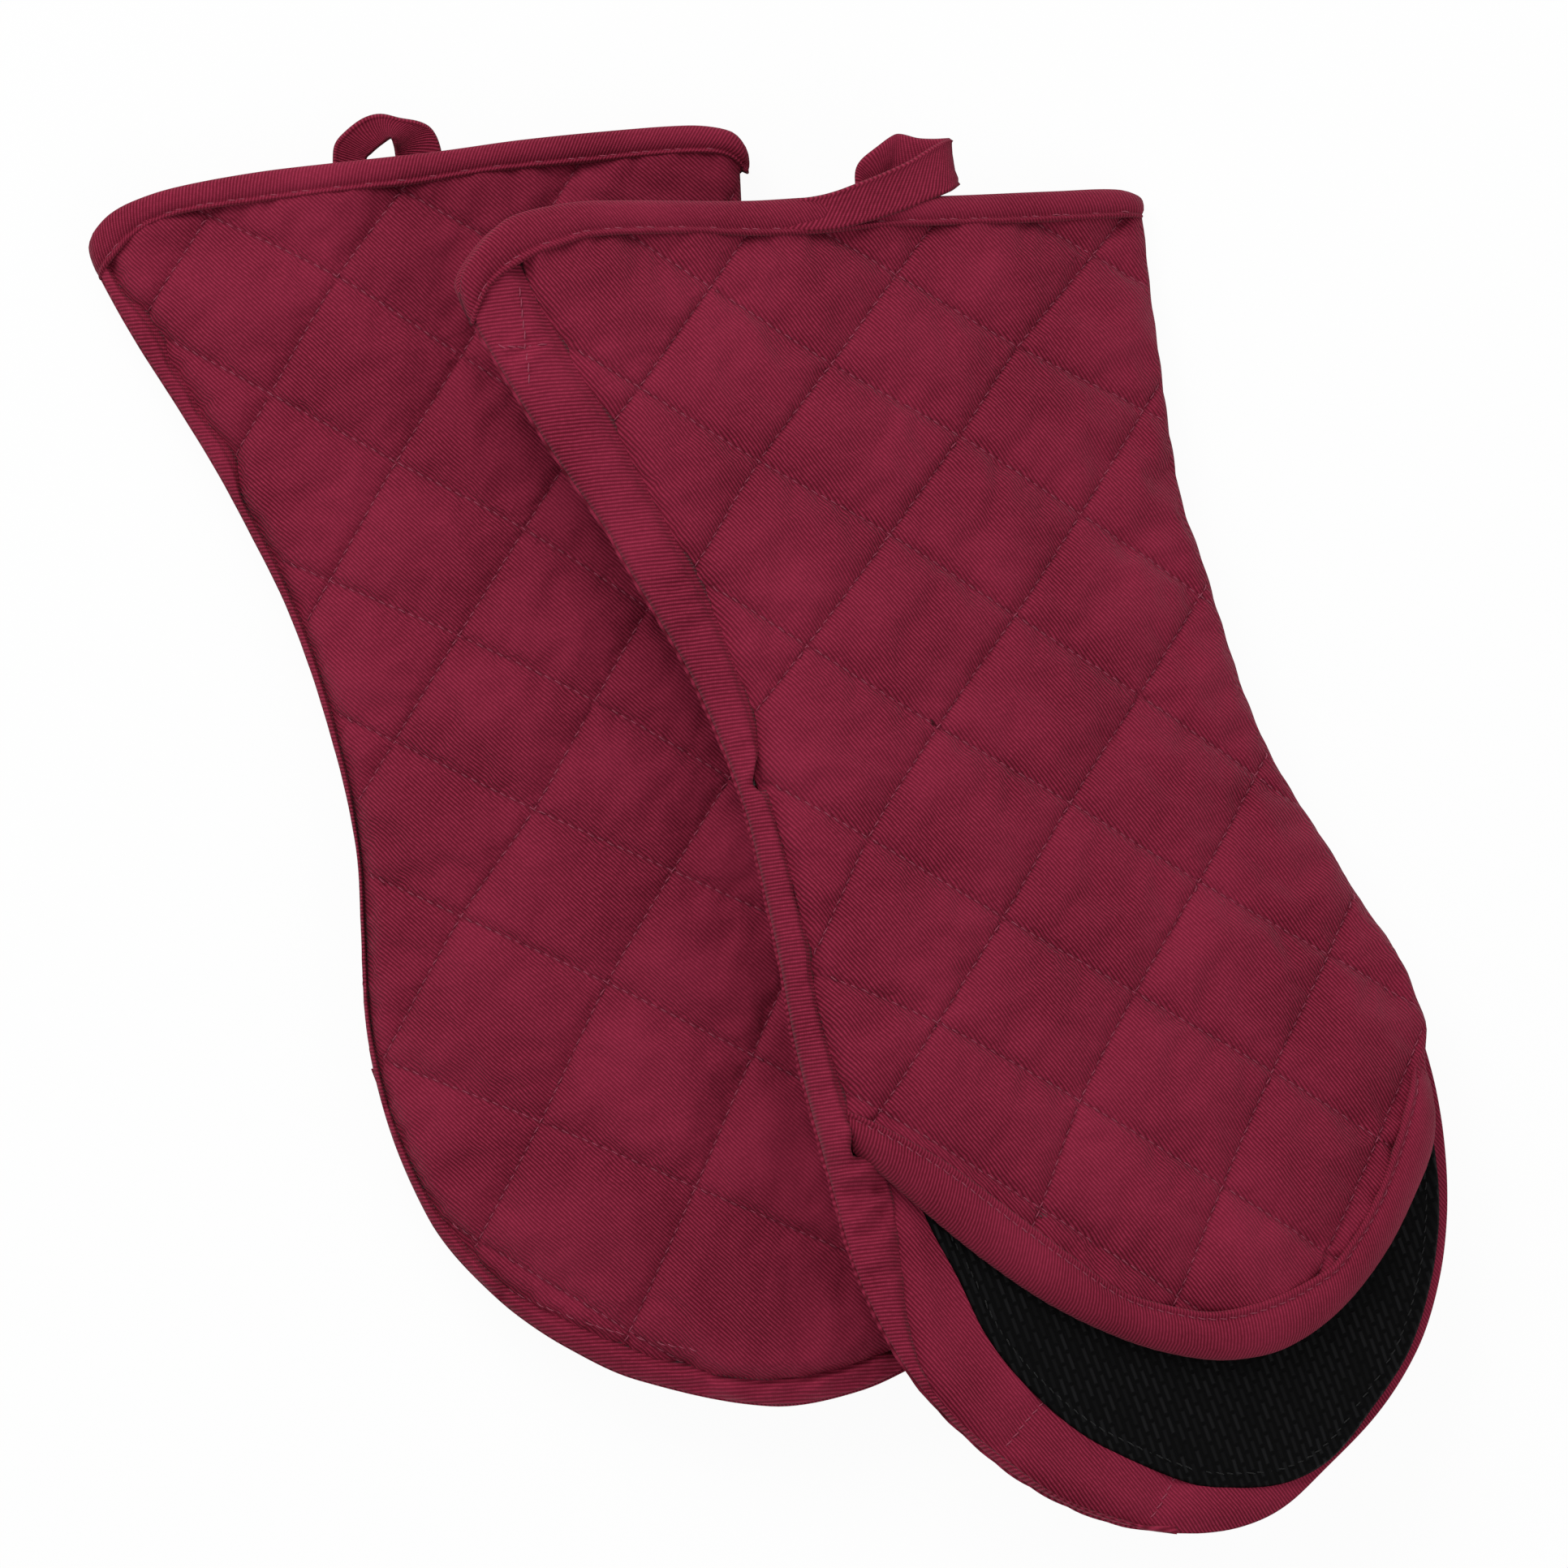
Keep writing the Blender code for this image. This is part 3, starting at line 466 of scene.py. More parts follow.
class Lay:
    """How one mitt lies, and the shapes of its two halves."""

    def __init__(self, hand, sleeve, flap, loop, thumb_up):
        joint = next(j for j in frame["joints"] if j["child"] == flap)
        faces = frame["nodes"][f"{hand}_finger_grip_pad"].data.polygons
        self.up = max(faces, key=lambda face: face.area).normal.copy()
        self.up *= math.copysign(1, self.up.z)
        self.across = Vector(joint["axis"])
        self.across *= math.copysign(1, self.across.x)
        self.along = self.across.cross(self.up)
        self.hand, self.sleeve, self.flap, self.loop = hand, sleeve, flap, loop
        self.thumb_sign = 1 if thumb_up else -1
        self.root = Vector(joint["pos_m"]) - self.along * HINGE_S - self.up * HINGE_HEIGHT * self.thumb_sign

    def side(self, thumb_side):
        """Which way a half rises from the seam plane: 1 up, -1 down."""
        return self.thumb_sign if thumb_side else -self.thumb_sign

    def world(self, x, s, h):
        return self.root + self.across * float(x) + self.along * float(s) + self.up * float(h)

    def worlds(self, places, heights):
        axes = [np.array(v) for v in (self.across, self.along, self.up)]
        return (np.array(self.root) + places[:, 0:1] * axes[0] + places[:, 1:2] * axes[1]
                + np.asarray(heights)[:, None] * axes[2])

    def under(self, pixel, height):
        """The plan place that shows at a pixel, at a height over the seam plane."""
        ground = Vector(((pixel[0] - PHOTO_SIZE / 2) / PIXELS_PER_METRE,
                         (PHOTO_SIZE / 2 - pixel[1]) / PIXELS_PER_METRE, 0)) + PICTURE_CENTRE
        eye = PICTURE_CENTRE + Vector((0, 0, CAMERA_HEIGHT))
        sight = ground - eye
        run = (self.root + self.up * float(height) - eye).dot(self.up) / sight.dot(self.up)
        point = eye + sight * run - self.root
        return np.array((point.dot(self.across), point.dot(self.along)))

    def set_rims(self, silhouette, thumb_rim):
        self.silhouette = silhouette
        self.back_rim = edge_of(silhouette)
        self.thumb_rim = edge_of(thumb_rim)

    def form(self, places, thumb_side):
        """Height of the smooth form over the seam plane, without quilting."""
        places = np.atleast_2d(places)
        rim = self.thumb_rim if thumb_side else self.back_rim
        s = places[:, 1]
        hand = THUMB_HEIGHT if thumb_side else BACK_HEIGHT
        full = CUFF_HEIGHT + (hand - CUFF_HEIGHT) * np.clip(s / HAND_CENTRE, 0, 1)
        low = 0.0 * s
        if thumb_side:
            low = FLAP_RIM * smooth(HINGE_S - 10 * MM, HINGE_S + 18 * MM, s)
        return low + (full - low) * crown(1 - rim.gaps(places) / EDGE_REACH)

    def trace(self, pixels, thumb_side=None, step=OUTLINE_STEP, level=0.0):
        """A smooth curve through pixels: on a half's form, or at one level."""
        places = []
        for pixel in pixels:
            height = level
            for _ in range(4 if thumb_side is not None else 1):
                place = self.under(pixel, height)
                if thumb_side is not None:
                    height = float(self.form(place, thumb_side)[0]) + level
            places.append(place)
        return curve_through(places, step)


def mirrored(chain):
    return np.stack([-chain[::-1, 0], chain[::-1, 1]], axis=1)


def lay_upper():
    lay = Lay("right", "upper_mitt", "right_flap", "right_loop", True)
    left = lay.trace(UPPER_LEFT)
    right = lay.trace(UPPER_RIGHT)
    edge = lay.trace(UPPER_FLAP_OUTER, level=FLAP_RIM)
    sleeve_left = left[left[:, 1] < edge[0, 1] - 4 * MM]
    sleeve_right = right[right[:, 1] < edge[-1, 1] - FLAP_CORNER]
    lay.set_rims(np.concatenate([left, right[-2::-1]]),
                 np.concatenate([sleeve_left, edge, sleeve_right[::-1]]))
    lay.left, lay.right, lay.flap_outer = left, right, edge
    lay.cuff = lay.trace(UPPER_CUFF, True)
    lay.cuff_inner = lay.trace(UPPER_CUFF_INNER, True)
    lay.flap_inner = lay.trace(UPPER_FLAP_INNER, True)
    lay.crease = lay.trace(UPPER_CREASE, True, level=-1 * MM)
    lay.palm_edge = lay.trace(UPPER_PALM_EDGE)
    lay.pad = resample(joined(lay.trace(UPPER_PAD, level=1 * MM)), OUTLINE_STEP)
    lay.palm_quilt = [lay.trace(line) for line in UPPER_PALM_QUILT]
    lay.top_quilt = quilt_from(lay, UPPER_QUILT, True)
    lay.bottom_quilt = even_quilt(RIGHT_LATTICE)
    return lay


def lay_lower():
    lay = Lay("left", "lower_mitt", "left_flap", "left_loop", False)
    left = lay.trace(LOWER_LEFT)
    corner = lay.under(LOWER_CUFF[-1], 0)
    right = mirrored(left)[::-1]
    right = right[(right[:, 1] > corner[1] + 3 * MM) & (right[:, 0] > left[-1, 0] + 2 * MM)]
    from_tip = np.linalg.norm(right - right[-1], axis=1)
    right[:, 1] += (left[-1, 1] - right[-1, 1]) * smooth(60 * MM, 0, from_tip)
    right = np.concatenate([[corner], right])
    silhouette = np.concatenate([left, right[::-1]])
    turns = np.linspace(-math.pi / 2, math.pi / 2, 41)
    shoulder = HINGE_S + SHOULDER
    width = float(np.interp(shoulder, right[:, 1], right[:, 0]))
    edge = np.stack([width * np.sin(turns), shoulder + (FLAP_TIP - shoulder) * np.cos(turns)], axis=1)
    sleeve_left = left[left[:, 1] < shoulder]
    sleeve_right = right[right[:, 1] < shoulder]
    lay.set_rims(silhouette, np.concatenate([sleeve_left, edge, sleeve_right[::-1]]))
    lay.left, lay.right, lay.flap_outer = left, right, resample(edge, OUTLINE_STEP)
    lay.cuff = lay.trace(LOWER_CUFF, False)
    lay.cuff_inner = lay.trace(LOWER_CUFF_INNER, False)
    lay.crease = lay.trace(LOWER_CREASE, False, level=-1 * MM)
    narrow = (width - TAPE_WIDTH) / width
    short = 1 - TAPE_WIDTH / (FLAP_TIP - shoulder)
    lay.flap_inner = np.stack([narrow * lay.flap_outer[:, 0],
                               shoulder + (lay.flap_outer[:, 1] - shoulder) * short], axis=1)
    lay.palm_edge = None
    finger = silhouette[silhouette[:, 1] > HINGE_S]
    lay.pad = inward(resample(finger, OUTLINE_STEP), finger, PAD_BORDER)
    lay.palm_quilt = even_quilt(LEFT_LATTICE)
    lay.top_quilt = quilt_from(lay, LOWER_QUILT, False)
    lay.bottom_quilt = even_quilt(LEFT_LATTICE)
    return lay


def quilt_from(lay, crossings, thumb_side):
    """Stitch lines through measured crossings, run on past the cloth's edges."""
    places = {}
    for key, pixel in crossings.items():
        height = 0.0
        for _ in range(4):
            place = lay.under(pixel, height)
            height = float(lay.form(place, thumb_side)[0]) - CHANNEL_DEPTH
        places[key] = place
    lines = []
    for family in (0, 1):
        numbers = sorted({key[family] for key in places})
        runs = {n: [places[key] for key in sorted(places) if key[family] == n] for n in numbers}
        for n, run in runs.items():
            if len(run) == 1:
                near = next(runs[m] for m in (n - 1, n + 1, n - 2, n + 2) if len(runs.get(m, ())) > 1)
                course = near[-1] - near[0]
                run = [run[0], run[0] + course / np.linalg.norm(course) * MM]
            head = run[0] - run[1]
            tail = run[-1] - run[-2]
            full = [run[0] + head / np.linalg.norm(head) * QUILT_REACH, *run,
                    run[-1] + tail / np.linalg.norm(tail) * QUILT_REACH]
            middle = curve_through(full[1:-1], LINE_STEP)
            lines.append(resample(np.concatenate([full[:1], middle, full[-1:]]), LINE_STEP))
    return lines


def even_quilt(lattice):
    """Regular diamonds for the sides that the photograph doesn't show."""
    lines = []
    for pitch, angle, start in lattice:
        pitch = pitch * MM
        angle = math.radians(angle)
        normal = np.array((math.cos(angle), math.sin(angle)))
        course = np.array((-normal[1], normal[0]))
        count = round(QUILT_REACH / pitch)
        for k in range(-count, count + 1):
            middle = normal * (k + start) * pitch
            lines.append(resample([middle - course * QUILT_REACH, middle + course * QUILT_REACH], LINE_STEP))
    return lines


def clipped(lines, outline, margin):
    """The stretches of the lines that lie inside an outline, clear of its edge."""
    edge = edge_of(closed(outline))
    kept = []
    for line in lines:
        use = inside(line, outline)
        use[use] = edge.gaps(line[use]) > margin
        starts = np.flatnonzero(use & ~np.roll(use, 1))
        for start in starts:
            end = start
            while end < len(line) and use[end]:
                end += 1
            if end - start > 10:
                kept.append(line[start:end])
    return kept


def inward(chain, closed_outline, offset):
    """A closed chain moved into its outline by an offset."""
    course = np.roll(chain, -1, axis=0) - np.roll(chain, 1, axis=0)
    course /= np.linalg.norm(course, axis=1)[:, None] + 1e-12
    side = leftward(course)
    x, s = chain[:, 0], chain[:, 1]
    area = np.sum(x * np.roll(s, -1) - np.roll(x, -1) * s)
    moved = chain + side * offset * math.copysign(1, area)
    gaps = edge_of(closed(closed_outline)).gaps(moved)
    return moved[(gaps > offset * 0.8) & inside(moved, closed_outline)]


def cloth_plan(outline, lines=(), step=CLOTH_STEP):
    """Plan points and triangles inside an outline, closer along its edge and the stitch lines."""
    border = resample(closed(outline), OUTLINE_STEP)[:-1]
    rings = [inward(border, outline, offset) for offset in (0.6 * MM, 1.5 * MM)]
    course = []
    for line in lines:
        run = resample(line, CHANNEL_STEP)
        if len(run) < 3:
            continue
        way = np.gradient(run, axis=0)
        way /= np.linalg.norm(way, axis=1)[:, None]
        side = leftward(way) * CHANNEL_OFFSET
        course += [run, run + side, run - side]
    low, high = outline.min(0), outline.max(0)
    rows = np.arange(low[1], high[1], step * math.sqrt(3) / 2)
    grid = []
    for k, s in enumerate(rows):
        row = np.arange(low[0] + step / 2 * (k % 2), high[0], step)
        grid.append(np.stack([row, np.full(len(row), s)], 1))
    grid = np.concatenate(grid)
    grid = grid[inside(grid, outline)]
    edge = edge_of(closed(outline))
    grid = grid[edge.gaps(grid) > 2.4 * MM]
    if course:
        course = np.concatenate(course)
        course = course[inside(course, outline)]
        course = course[edge.gaps(course) > 2.0 * MM]
        grid = grid[Near(course).gaps(grid) > 1.3 * MM]
        spread = [course, grid]
    else:
        spread = [grid]
    places = np.concatenate([border] + rings + spread)
    edges = [(k, (k + 1) % len(border)) for k in range(len(border))]
    verts, _, cells, _, _, _ = delaunay_2d_cdt([Vector(p) for p in places], edges, [], 1, 1e-6)
    verts = np.array([tuple(v) for v in verts])
    used = sorted({k for cell in cells for k in cell})
    number = {old: new for new, old in enumerate(used)}
    return verts[used], [tuple(number[k] for k in cell) for cell in cells]


def new_piece(name, points, faces, finish, uvs=None, seams=None):
    """A mesh object in the row frame, shaded smooth, with cloth and seam coordinates in metres."""
    mesh = bpy.data.meshes.new(name)
    mesh.from_pydata([tuple(map(float, p)) for p in points], [], [tuple(map(int, f)) for f in faces])
    mesh.shade_smooth()
    corners = np.array([loop.vertex_index for loop in mesh.loops])
    for map_name, values in (("cloth", uvs), ("seam", seams)):
        if values is not None:
            layer = mesh.uv_layers.new(name=map_name)
            layer.data.foreach_set("uv", np.asarray(values, np.float32)[corners].ravel())
    piece = bpy.data.objects.new(name, mesh)
    bpy.context.scene.collection.objects.link(piece)
    piece.data.materials.append(finish)
    return piece


def face_up(piece, direction):
    """Turn an open sheet's faces so that they point a given way on the whole."""
    total = Vector((0, 0, 0))
    for face in piece.data.polygons:
        total += face.normal * face.area
    if total.dot(direction) < 0:
        piece.data.flip_normals()


def thicken(piece, skin):
    """Give a sheet its thickness, inward from its outer face."""
    solid = piece.modifiers.new("skin", "SOLIDIFY")
    solid.thickness = skin
    solid.offset = -1
    solid.use_even_offset = False
    apply_modifiers(piece)


def apply_modifiers(piece):
    bpy.context.view_layer.update()
    evaluated = piece.evaluated_get(bpy.context.evaluated_depsgraph_get())
    mesh = bpy.data.meshes.new_from_object(evaluated, preserve_all_data_layers=True,
                                           depsgraph=bpy.context.evaluated_depsgraph_get())
    old = piece.data
    piece.modifiers.clear()
    piece.data = mesh
    bpy.data.meshes.remove(old)
    piece.data.shade_smooth()


def puff(piece, hold, sizes):
    """Fill a quilted sheet by cloth simulation, held along its seams and stitch lines."""
    rest = np.array([v.co for v in piece.data.vertices])
    group = piece.vertex_groups.new(name="held")
    for k, amount in enumerate(hold):
        group.add([k], float(amount), "REPLACE")
    cloth = piece.modifiers.new("puff", "CLOTH")
    settings = cloth.settings
    for setting, value in PUFF_SETTINGS.items():
        setattr(settings, setting, value)
    settings.effector_weights.gravity = 0
    cloth.collision_settings.use_collision = False
    scene = bpy.context.scene
    cloth.point_cache.frame_start = 1
    cloth.point_cache.frame_end = sizes.puff_steps
    for step in range(1, sizes.puff_steps + 1):
        scene.frame_set(step)
    evaluated = piece.evaluated_get(bpy.context.evaluated_depsgraph_get())
    puffed = np.array([v.co for v in evaluated.data.vertices])
    scene.frame_set(1)
    piece.modifiers.remove(cloth)
    piece.vertex_groups.clear()
    move = puffed - rest
    move[~np.isfinite(move)] = 0
    length = np.linalg.norm(move, axis=1)
    capped = move * np.minimum(1, PUFF_CAP / np.maximum(length, 1e-9))[:, None]
    final = rest + capped
    piece.data.vertices.foreach_set("co", final.astype(np.float32).ravel())
    piece.data.update()
    print(piece.name, "puffed by up to", round(float(length.max()) / MM, 2), "mm")


class Wire:
    """A node's output socket with the operators that shader maths uses."""

    def __init__(self, finish, socket):
        self.finish, self.socket = finish, socket

    def math(self, operation, *others):
        return self.finish.node("ShaderNodeMath", {"operation": operation}, [self, *others])

    def __add__(self, other):
        return self.math("ADD", other)

    __radd__ = __add__

    def __mul__(self, other):
        return self.math("MULTIPLY", other)

    __rmul__ = __mul__

    def __sub__(self, other):
        return self.math("SUBTRACT", other)

    def __rsub__(self, other):
        return (self * -1) + other

    def __truediv__(self, other):
        return self.math("DIVIDE", other)

    def sin(self):
        return self.math("SINE")

    def clamp(self, low, high):
        return self.math("MAXIMUM", low).math("MINIMUM", high)


class Finish:
    """A material whose Principled shader takes procedural wires."""

    def __init__(self, name, roughness, sheen=0.0, specular=0.3):
        self.material = bpy.data.materials.new(name)
        self.material.use_nodes = True
        self.tree = self.material.node_tree
        self.shader = self.tree.nodes["Principled BSDF"]
        self.shader.inputs["Roughness"].default_value = roughness
        self.shader.inputs["Sheen Weight"].default_value = sheen
        self.shader.inputs["Sheen Roughness"].default_value = 0.4
        self.shader.inputs["Specular IOR Level"].default_value = specular

    def node(self, kind, settings=(), values=(), output=0):
        """Add a node: its settings first, then the values or links of its sockets."""
        node = self.tree.nodes.new(kind)
        for name, value in dict(settings).items():
            setattr(node, name, value)
        pairs = values.items() if isinstance(values, dict) else enumerate(values)
        for key, value in pairs:
            self.feed(node.inputs[key], value)
        return Wire(self, node.outputs[output])

    def feed(self, socket, value):
        if isinstance(value, Wire):
            self.tree.links.new(value.socket, socket)
        else:
            socket.default_value = value

    def mix(self, amount, first, second, blend="MIX"):
        """Mix two colours."""
        colours = [tuple(c) + (1.0,) if not isinstance(c, Wire) else c for c in (first, second)]
        return self.node("ShaderNodeMix", {"data_type": "RGBA", "blend_type": blend, "clamp_factor": True},
                         {0: amount, 6: colours[0], 7: colours[1]}, output=2)

    def cloth(self):
        """Cloth coordinates across and along, in metres."""
        place = self.node("ShaderNodeUVMap", {"uv_map": "cloth"})
        split = self.tree.nodes.new("ShaderNodeSeparateXYZ")
        self.tree.links.new(place.socket, split.inputs[0])
        return place, Wire(self, split.outputs[0]), Wire(self, split.outputs[1])

    def seam(self):
        """Distance to the nearest stitch line, in metres."""
        place = self.node("ShaderNodeUVMap", {"uv_map": "seam"})
        return self.node("ShaderNodeSeparateXYZ", {}, [place], output=1)

    def noise(self, where, scale, detail=2.0):
        return self.node("ShaderNodeTexNoise", {}, {"Vector": where, "Scale": scale, "Detail": detail})

    def bump(self, height, distance, strength=1.0):
        wire = self.node("ShaderNodeBump", {}, {"Strength": strength, "Distance": distance, "Height": height})
        self.tree.links.new(wire.socket, self.shader.inputs["Normal"])

    def colour(self, wire):
        self.tree.links.new(wire.socket, self.shader.inputs["Base Color"])

    def rough(self, wire):
        self.tree.links.new(wire.socket, self.shader.inputs["Roughness"])


def twill_finish(name, base, rib, pitch, angle, seamed=False):
    """Twill: slanting ribs with a painted highlight on their tops, slubs and a soft mottle, gathered along
    its seams with painted shade in their creases.
    """
    finish = Finish(name, 0.86, sheen=0.06, specular=0.10)
    place, across, along = finish.cloth()
    waver = finish.noise(place, 90.0) - 0.5
    slant = across * (math.cos(angle) / pitch) + along * (math.sin(angle) / pitch)
    cut = across * (-math.sin(angle) / (pitch * 0.55)) + along * (math.cos(angle) / (pitch * 0.55))
    ribs = ((slant + waver * 0.8) * (2 * math.pi)).sin() * 0.5 + 0.5
    yarns = (cut * (2 * math.pi)).sin() * 0.5 + 0.5
    slub = finish.noise(place, 900.0, 3.0)
    mottle = finish.noise(place, 26.0, 3.0)
    shown = (ribs * 0.75 + yarns * ribs * 0.25) * (slub * 1.3 + 0.2)
    # painted highlight: where the ribs rise, the colour is mixed toward the much brighter rib colour, for
    # light on their tops
    tone = finish.mix(shown.clamp(0, 1), base, rib)
    tone = finish.mix((mottle - 0.38) * 0.9, tone, [min(1, c * 1.2) for c in rib])
    height = ribs * 0.75 + yarns * 0.15 + slub * 0.35
    if seamed:
        gap = finish.seam()
        near = (1 - gap / SEAM_SHADE).clamp(0, 1)
        gathers = finish.noise(place, 420.0, 1.0) - 0.5
        spread = (1 - gap / PUCKER_REACH).clamp(0, 1)
        height = height + gathers * spread * PUCKER_BUMP - near
        # painted shade: within SEAM_SHADE of a stitch line the cloth is darkened, for the shade in the seam's
        # crease
        tone = finish.mix(near * 0.3, tone, [c * 0.35 for c in base])
    finish.colour(tone)
    finish.bump(height, 0.25 * MM, 0.9)
    finish.rough(0.92 - ribs * 0.1)
    return finish.material


def thread_finish(name, colour):
    """Plied thread: fine turns along each stitch."""
    finish = Finish(name, 0.6, sheen=0.15, specular=0.35)
    _, across, along = finish.cloth()
    turns = ((across + along) * (2 * math.pi / (0.35 * MM))).sin() * 0.5 + 0.5
    finish.colour(finish.mix(turns * 0.5, [c * 0.75 for c in colour], colour))
    finish.bump(turns, 0.05 * MM, 0.5)
    return finish.material


def pad_finish(name, colour, pitch):
    """Rubberised weave: short raised cords with painted highlights for their shine, in a stepped pattern."""
    finish = Finish(name, 0.5, specular=0.04)
    place = finish.cloth()[0]
    turned = finish.node("ShaderNodeMapping", {}, {"Vector": place, "Rotation": (0, 0, math.radians(90))})
    brick = finish.node("ShaderNodeTexBrick", {"offset": 0.5, "squash": 1.0},
                        {"Vector": turned, "Scale": 1.0, "Mortar Size": pitch * 0.3, "Mortar Smooth": 0.6,
                         "Brick Width": pitch * 2, "Row Height": pitch * 0.78, "Bias": 0.0,
                         "Color1": (1, 1, 1, 1), "Color2": (0.2, 0.2, 0.2, 1), "Mortar": (0, 0, 0, 1)})
    grain = finish.noise(place, 900.0)
    # painted highlight: each raised cord is painted up to six times as bright as the black cloth, for its
    # glint
    lit = finish.mix(brick, colour, [c * 6 for c in colour])
    finish.colour(finish.mix(grain * 0.15, lit, [c * 6 for c in colour]))
    finish.rough(0.6 - brick * 0.2)
    finish.bump(brick * 0.7 + grain * 0.3, 0.5 * MM, 0.8)
    return finish.material


def lining_finish(name, colour):
    """Plain weave lining."""
    finish = Finish(name, 0.92, sheen=0.2)
    place, across, along = finish.cloth()
    warp = (across * (2 * math.pi / (0.7 * MM))).sin()
    weft = (along * (2 * math.pi / (0.7 * MM))).sin()
    soft = finish.noise(place, 120.0)
    finish.colour(finish.mix(soft * 0.6, [c * 0.8 for c in colour], colour))
    finish.bump(warp * weft * 0.5 + soft * 0.4, 0.15 * MM, 0.7)
    return finish.material


def finishes():
    """All finishes by name, made once."""
    if _finishes:
        return _finishes
    colours, sizes = bpy.context.scene.mitt_colours, bpy.context.scene.mitt_sizes
    pitch = sizes.wale_pitch
    for hand, angle in TWILL_ANGLES.items():
        _finishes[f"{hand} twill"] = twill_finish(f"{hand} quilted twill", colours.cloth, colours.rib, pitch,
                                                  math.radians(angle), True)
    plain_ones = (("plain", "plain twill", colours.cloth, 1, PLAIN_ANGLE),
                  ("strip", "side twill", colours.cloth, STRIP_PITCH_SHARE, STRIP_ANGLE),
                  ("tape", "bias tape", colours.tape, 1, TAPE_ANGLE))
    for key, name, base, share, angle in plain_ones:
        _finishes[key] = twill_finish(name, base, colours.rib, pitch * share, math.radians(angle))
    _finishes["thread"] = thread_finish("sewing thread", colours.thread)
    _finishes["black"] = thread_finish("black thread", colours.pad)
    _finishes["grip"] = pad_finish("grip cloth", colours.pad, sizes.weave_pitch)
    _finishes["lining"] = lining_finish("plain lining", colours.lining)
    return _finishes


def relief(lay, places, lines, thumb_side, extra_edge=None):
    """Height of a quilted half: its form less the pull of the stitches."""
    height = lay.form(places, thumb_side)
    rim = lay.thumb_rim if thumb_side else lay.back_rim
    rim_gap = rim.gaps(places)
    index, gap = Near(np.concatenate(lines)).closest(places)
    run = index * LINE_STEP
    pull = CHANNEL_DEPTH * np.clip(1 - gap / CHANNEL_REACH, 0, 1) ** 2
    pull += CREASE_DEPTH * np.exp(-(gap / CREASE_REACH) ** 2)
    fade = RIM_PULL + (1 - RIM_PULL) * smooth(0, RELIEF_FADE, rim_gap)
    ripple = bumps(places, *FINE_RIPPLE) + bumps(places, *BROAD_RIPPLE)
    gather = noise_at(np.stack([run, gap * 0.5], 1), GATHER_SIZE, 8.0) * GATHER_HEIGHT
    gather *= smooth(0, GATHER_START, gap) * (1 - smooth(GATHER_FULL, GATHER_END, gap))
    eased = noise_at(places * EASE_STRETCH, EASE_SIZE, 11.0) * EASE_HEIGHT
    eased *= 1 - smooth(EASE_FULL, EASE_REACH, rim_gap)
    height = height - pull * fade + (ripple + gather + eased) * smooth(0, 6 * MM, rim_gap)
    if extra_edge is not None:
        valley = edge_of(extra_edge).gaps(places)
        height -= VALLEY_DEPTH * np.exp(-(valley / VALLEY_REACH) ** 2)
    return height, gap, run


def cover(lay, name, outline, lines, thumb_side, extra_edge=None):
    """A quilted sheet of twill over one half of a mitt."""
    shown = clipped(lines, outline, 1.5 * MM)
    places, faces = cloth_plan(outline, shown)
    height, gap, run = relief(lay, places, shown, thumb_side, extra_edge)
    sign = lay.side(thumb_side)
    piece = new_piece(name, lay.worlds(places, height * sign), faces, finishes()[f"{lay.hand} twill"], places,
                      np.stack([run, gap], 1))
    face_up(piece, lay.up * sign)
    edge = edge_of(closed(outline))
    hold = np.maximum(np.exp(-(gap / (1.1 * MM)) ** 2), (edge.gaps(places) < 1.0 * MM) * 1.0)
    puff(piece, hold, bpy.context.scene.mitt_sizes)
    sew(lay, f"{name}_stitches", shown, piece, sign)
    thicken(piece, COVER_SKIN)
    return piece


def sew(lay, name, lines, cloth, sign, thread="thread"):
    """Short slanted stitches along lines, laid on the up side or the down side of a piece of cloth."""
    sizes = bpy.context.scene.mitt_sizes
    facing = [v for v in cloth.data.vertices if v.normal.dot(lay.up) * sign > 0.25]
    verts = np.array([v.co for v in facing])
    normals = np.array([v.normal for v in facing])
    axes = np.array([lay.across, lay.along]).T
    flat = (verts - np.array(lay.root)) @ axes
    find = Near(flat)
    points, faces, uvs = [], [], []
    half, thick = sizes.stitch_pitch * STITCH_HALF_SHARE, sizes.thread_width / 2
    for line in lines:
        run = resample(line, sizes.stitch_pitch)
        if len(run) < 3:
            continue
        index, _ = find.closest(run)
        way = np.gradient(run, axis=0)
        way /= np.linalg.norm(way, axis=1)[:, None]
        for k in range(len(run) - 1):
            place = (run[k] + run[k + 1]) / 2
            seat = int(index[k])
            up = Vector(normals[seat])
            turn = STITCH_TURN
            course = Vector((way[k][0] * math.cos(turn) - way[k][1] * math.sin(turn),
                             way[k][0] * math.sin(turn) + way[k][1] * math.cos(turn)))
            course = lay.across * course.x + lay.along * course.y
            course -= up * course.dot(up)
            course.normalize()
            height = (Vector(verts[seat]) - lay.root).dot(lay.up)
            slope = up.dot(lay.up)
            step = place - flat[seat]
            if slope > 0.2 or slope < -0.2:
                height -= (up.dot(lay.across) * step[0] + up.dot(lay.along) * step[1]) / slope
            middle = lay.world(place[0], place[1], height) + up * thick * 0.5
            side = up.cross(course)
            base = len(points)
            for t, wide in ((-1, 0.35), (-0.6, 0.95), (0, 1.0), (0.6, 0.95), (1, 0.35)):
                arch = (1 - t * t) * thick * 0.8 - abs(t) * thick * 0.8
                for j in range(6):
                    a = math.pi * j / 3
                    points.append(middle + course * half * t + up * (arch + thick * wide * math.sin(a))
                                  + side * thick * wide * math.cos(a))
                    uvs.append((t * half, j * thick))
            for r in range(4):
                a, b = base + r * 6, base + (r + 1) * 6
                faces += [(a + j, a + (j + 1) % 6, b + (j + 1) % 6, b + j) for j in range(6)]
            faces += [tuple(range(base + 5, base - 1, -1)), tuple(range(base + 24, base + 30))]
    piece = new_piece(name, points, faces, finishes()[thread], uvs)
    recalculate(piece)
    return piece


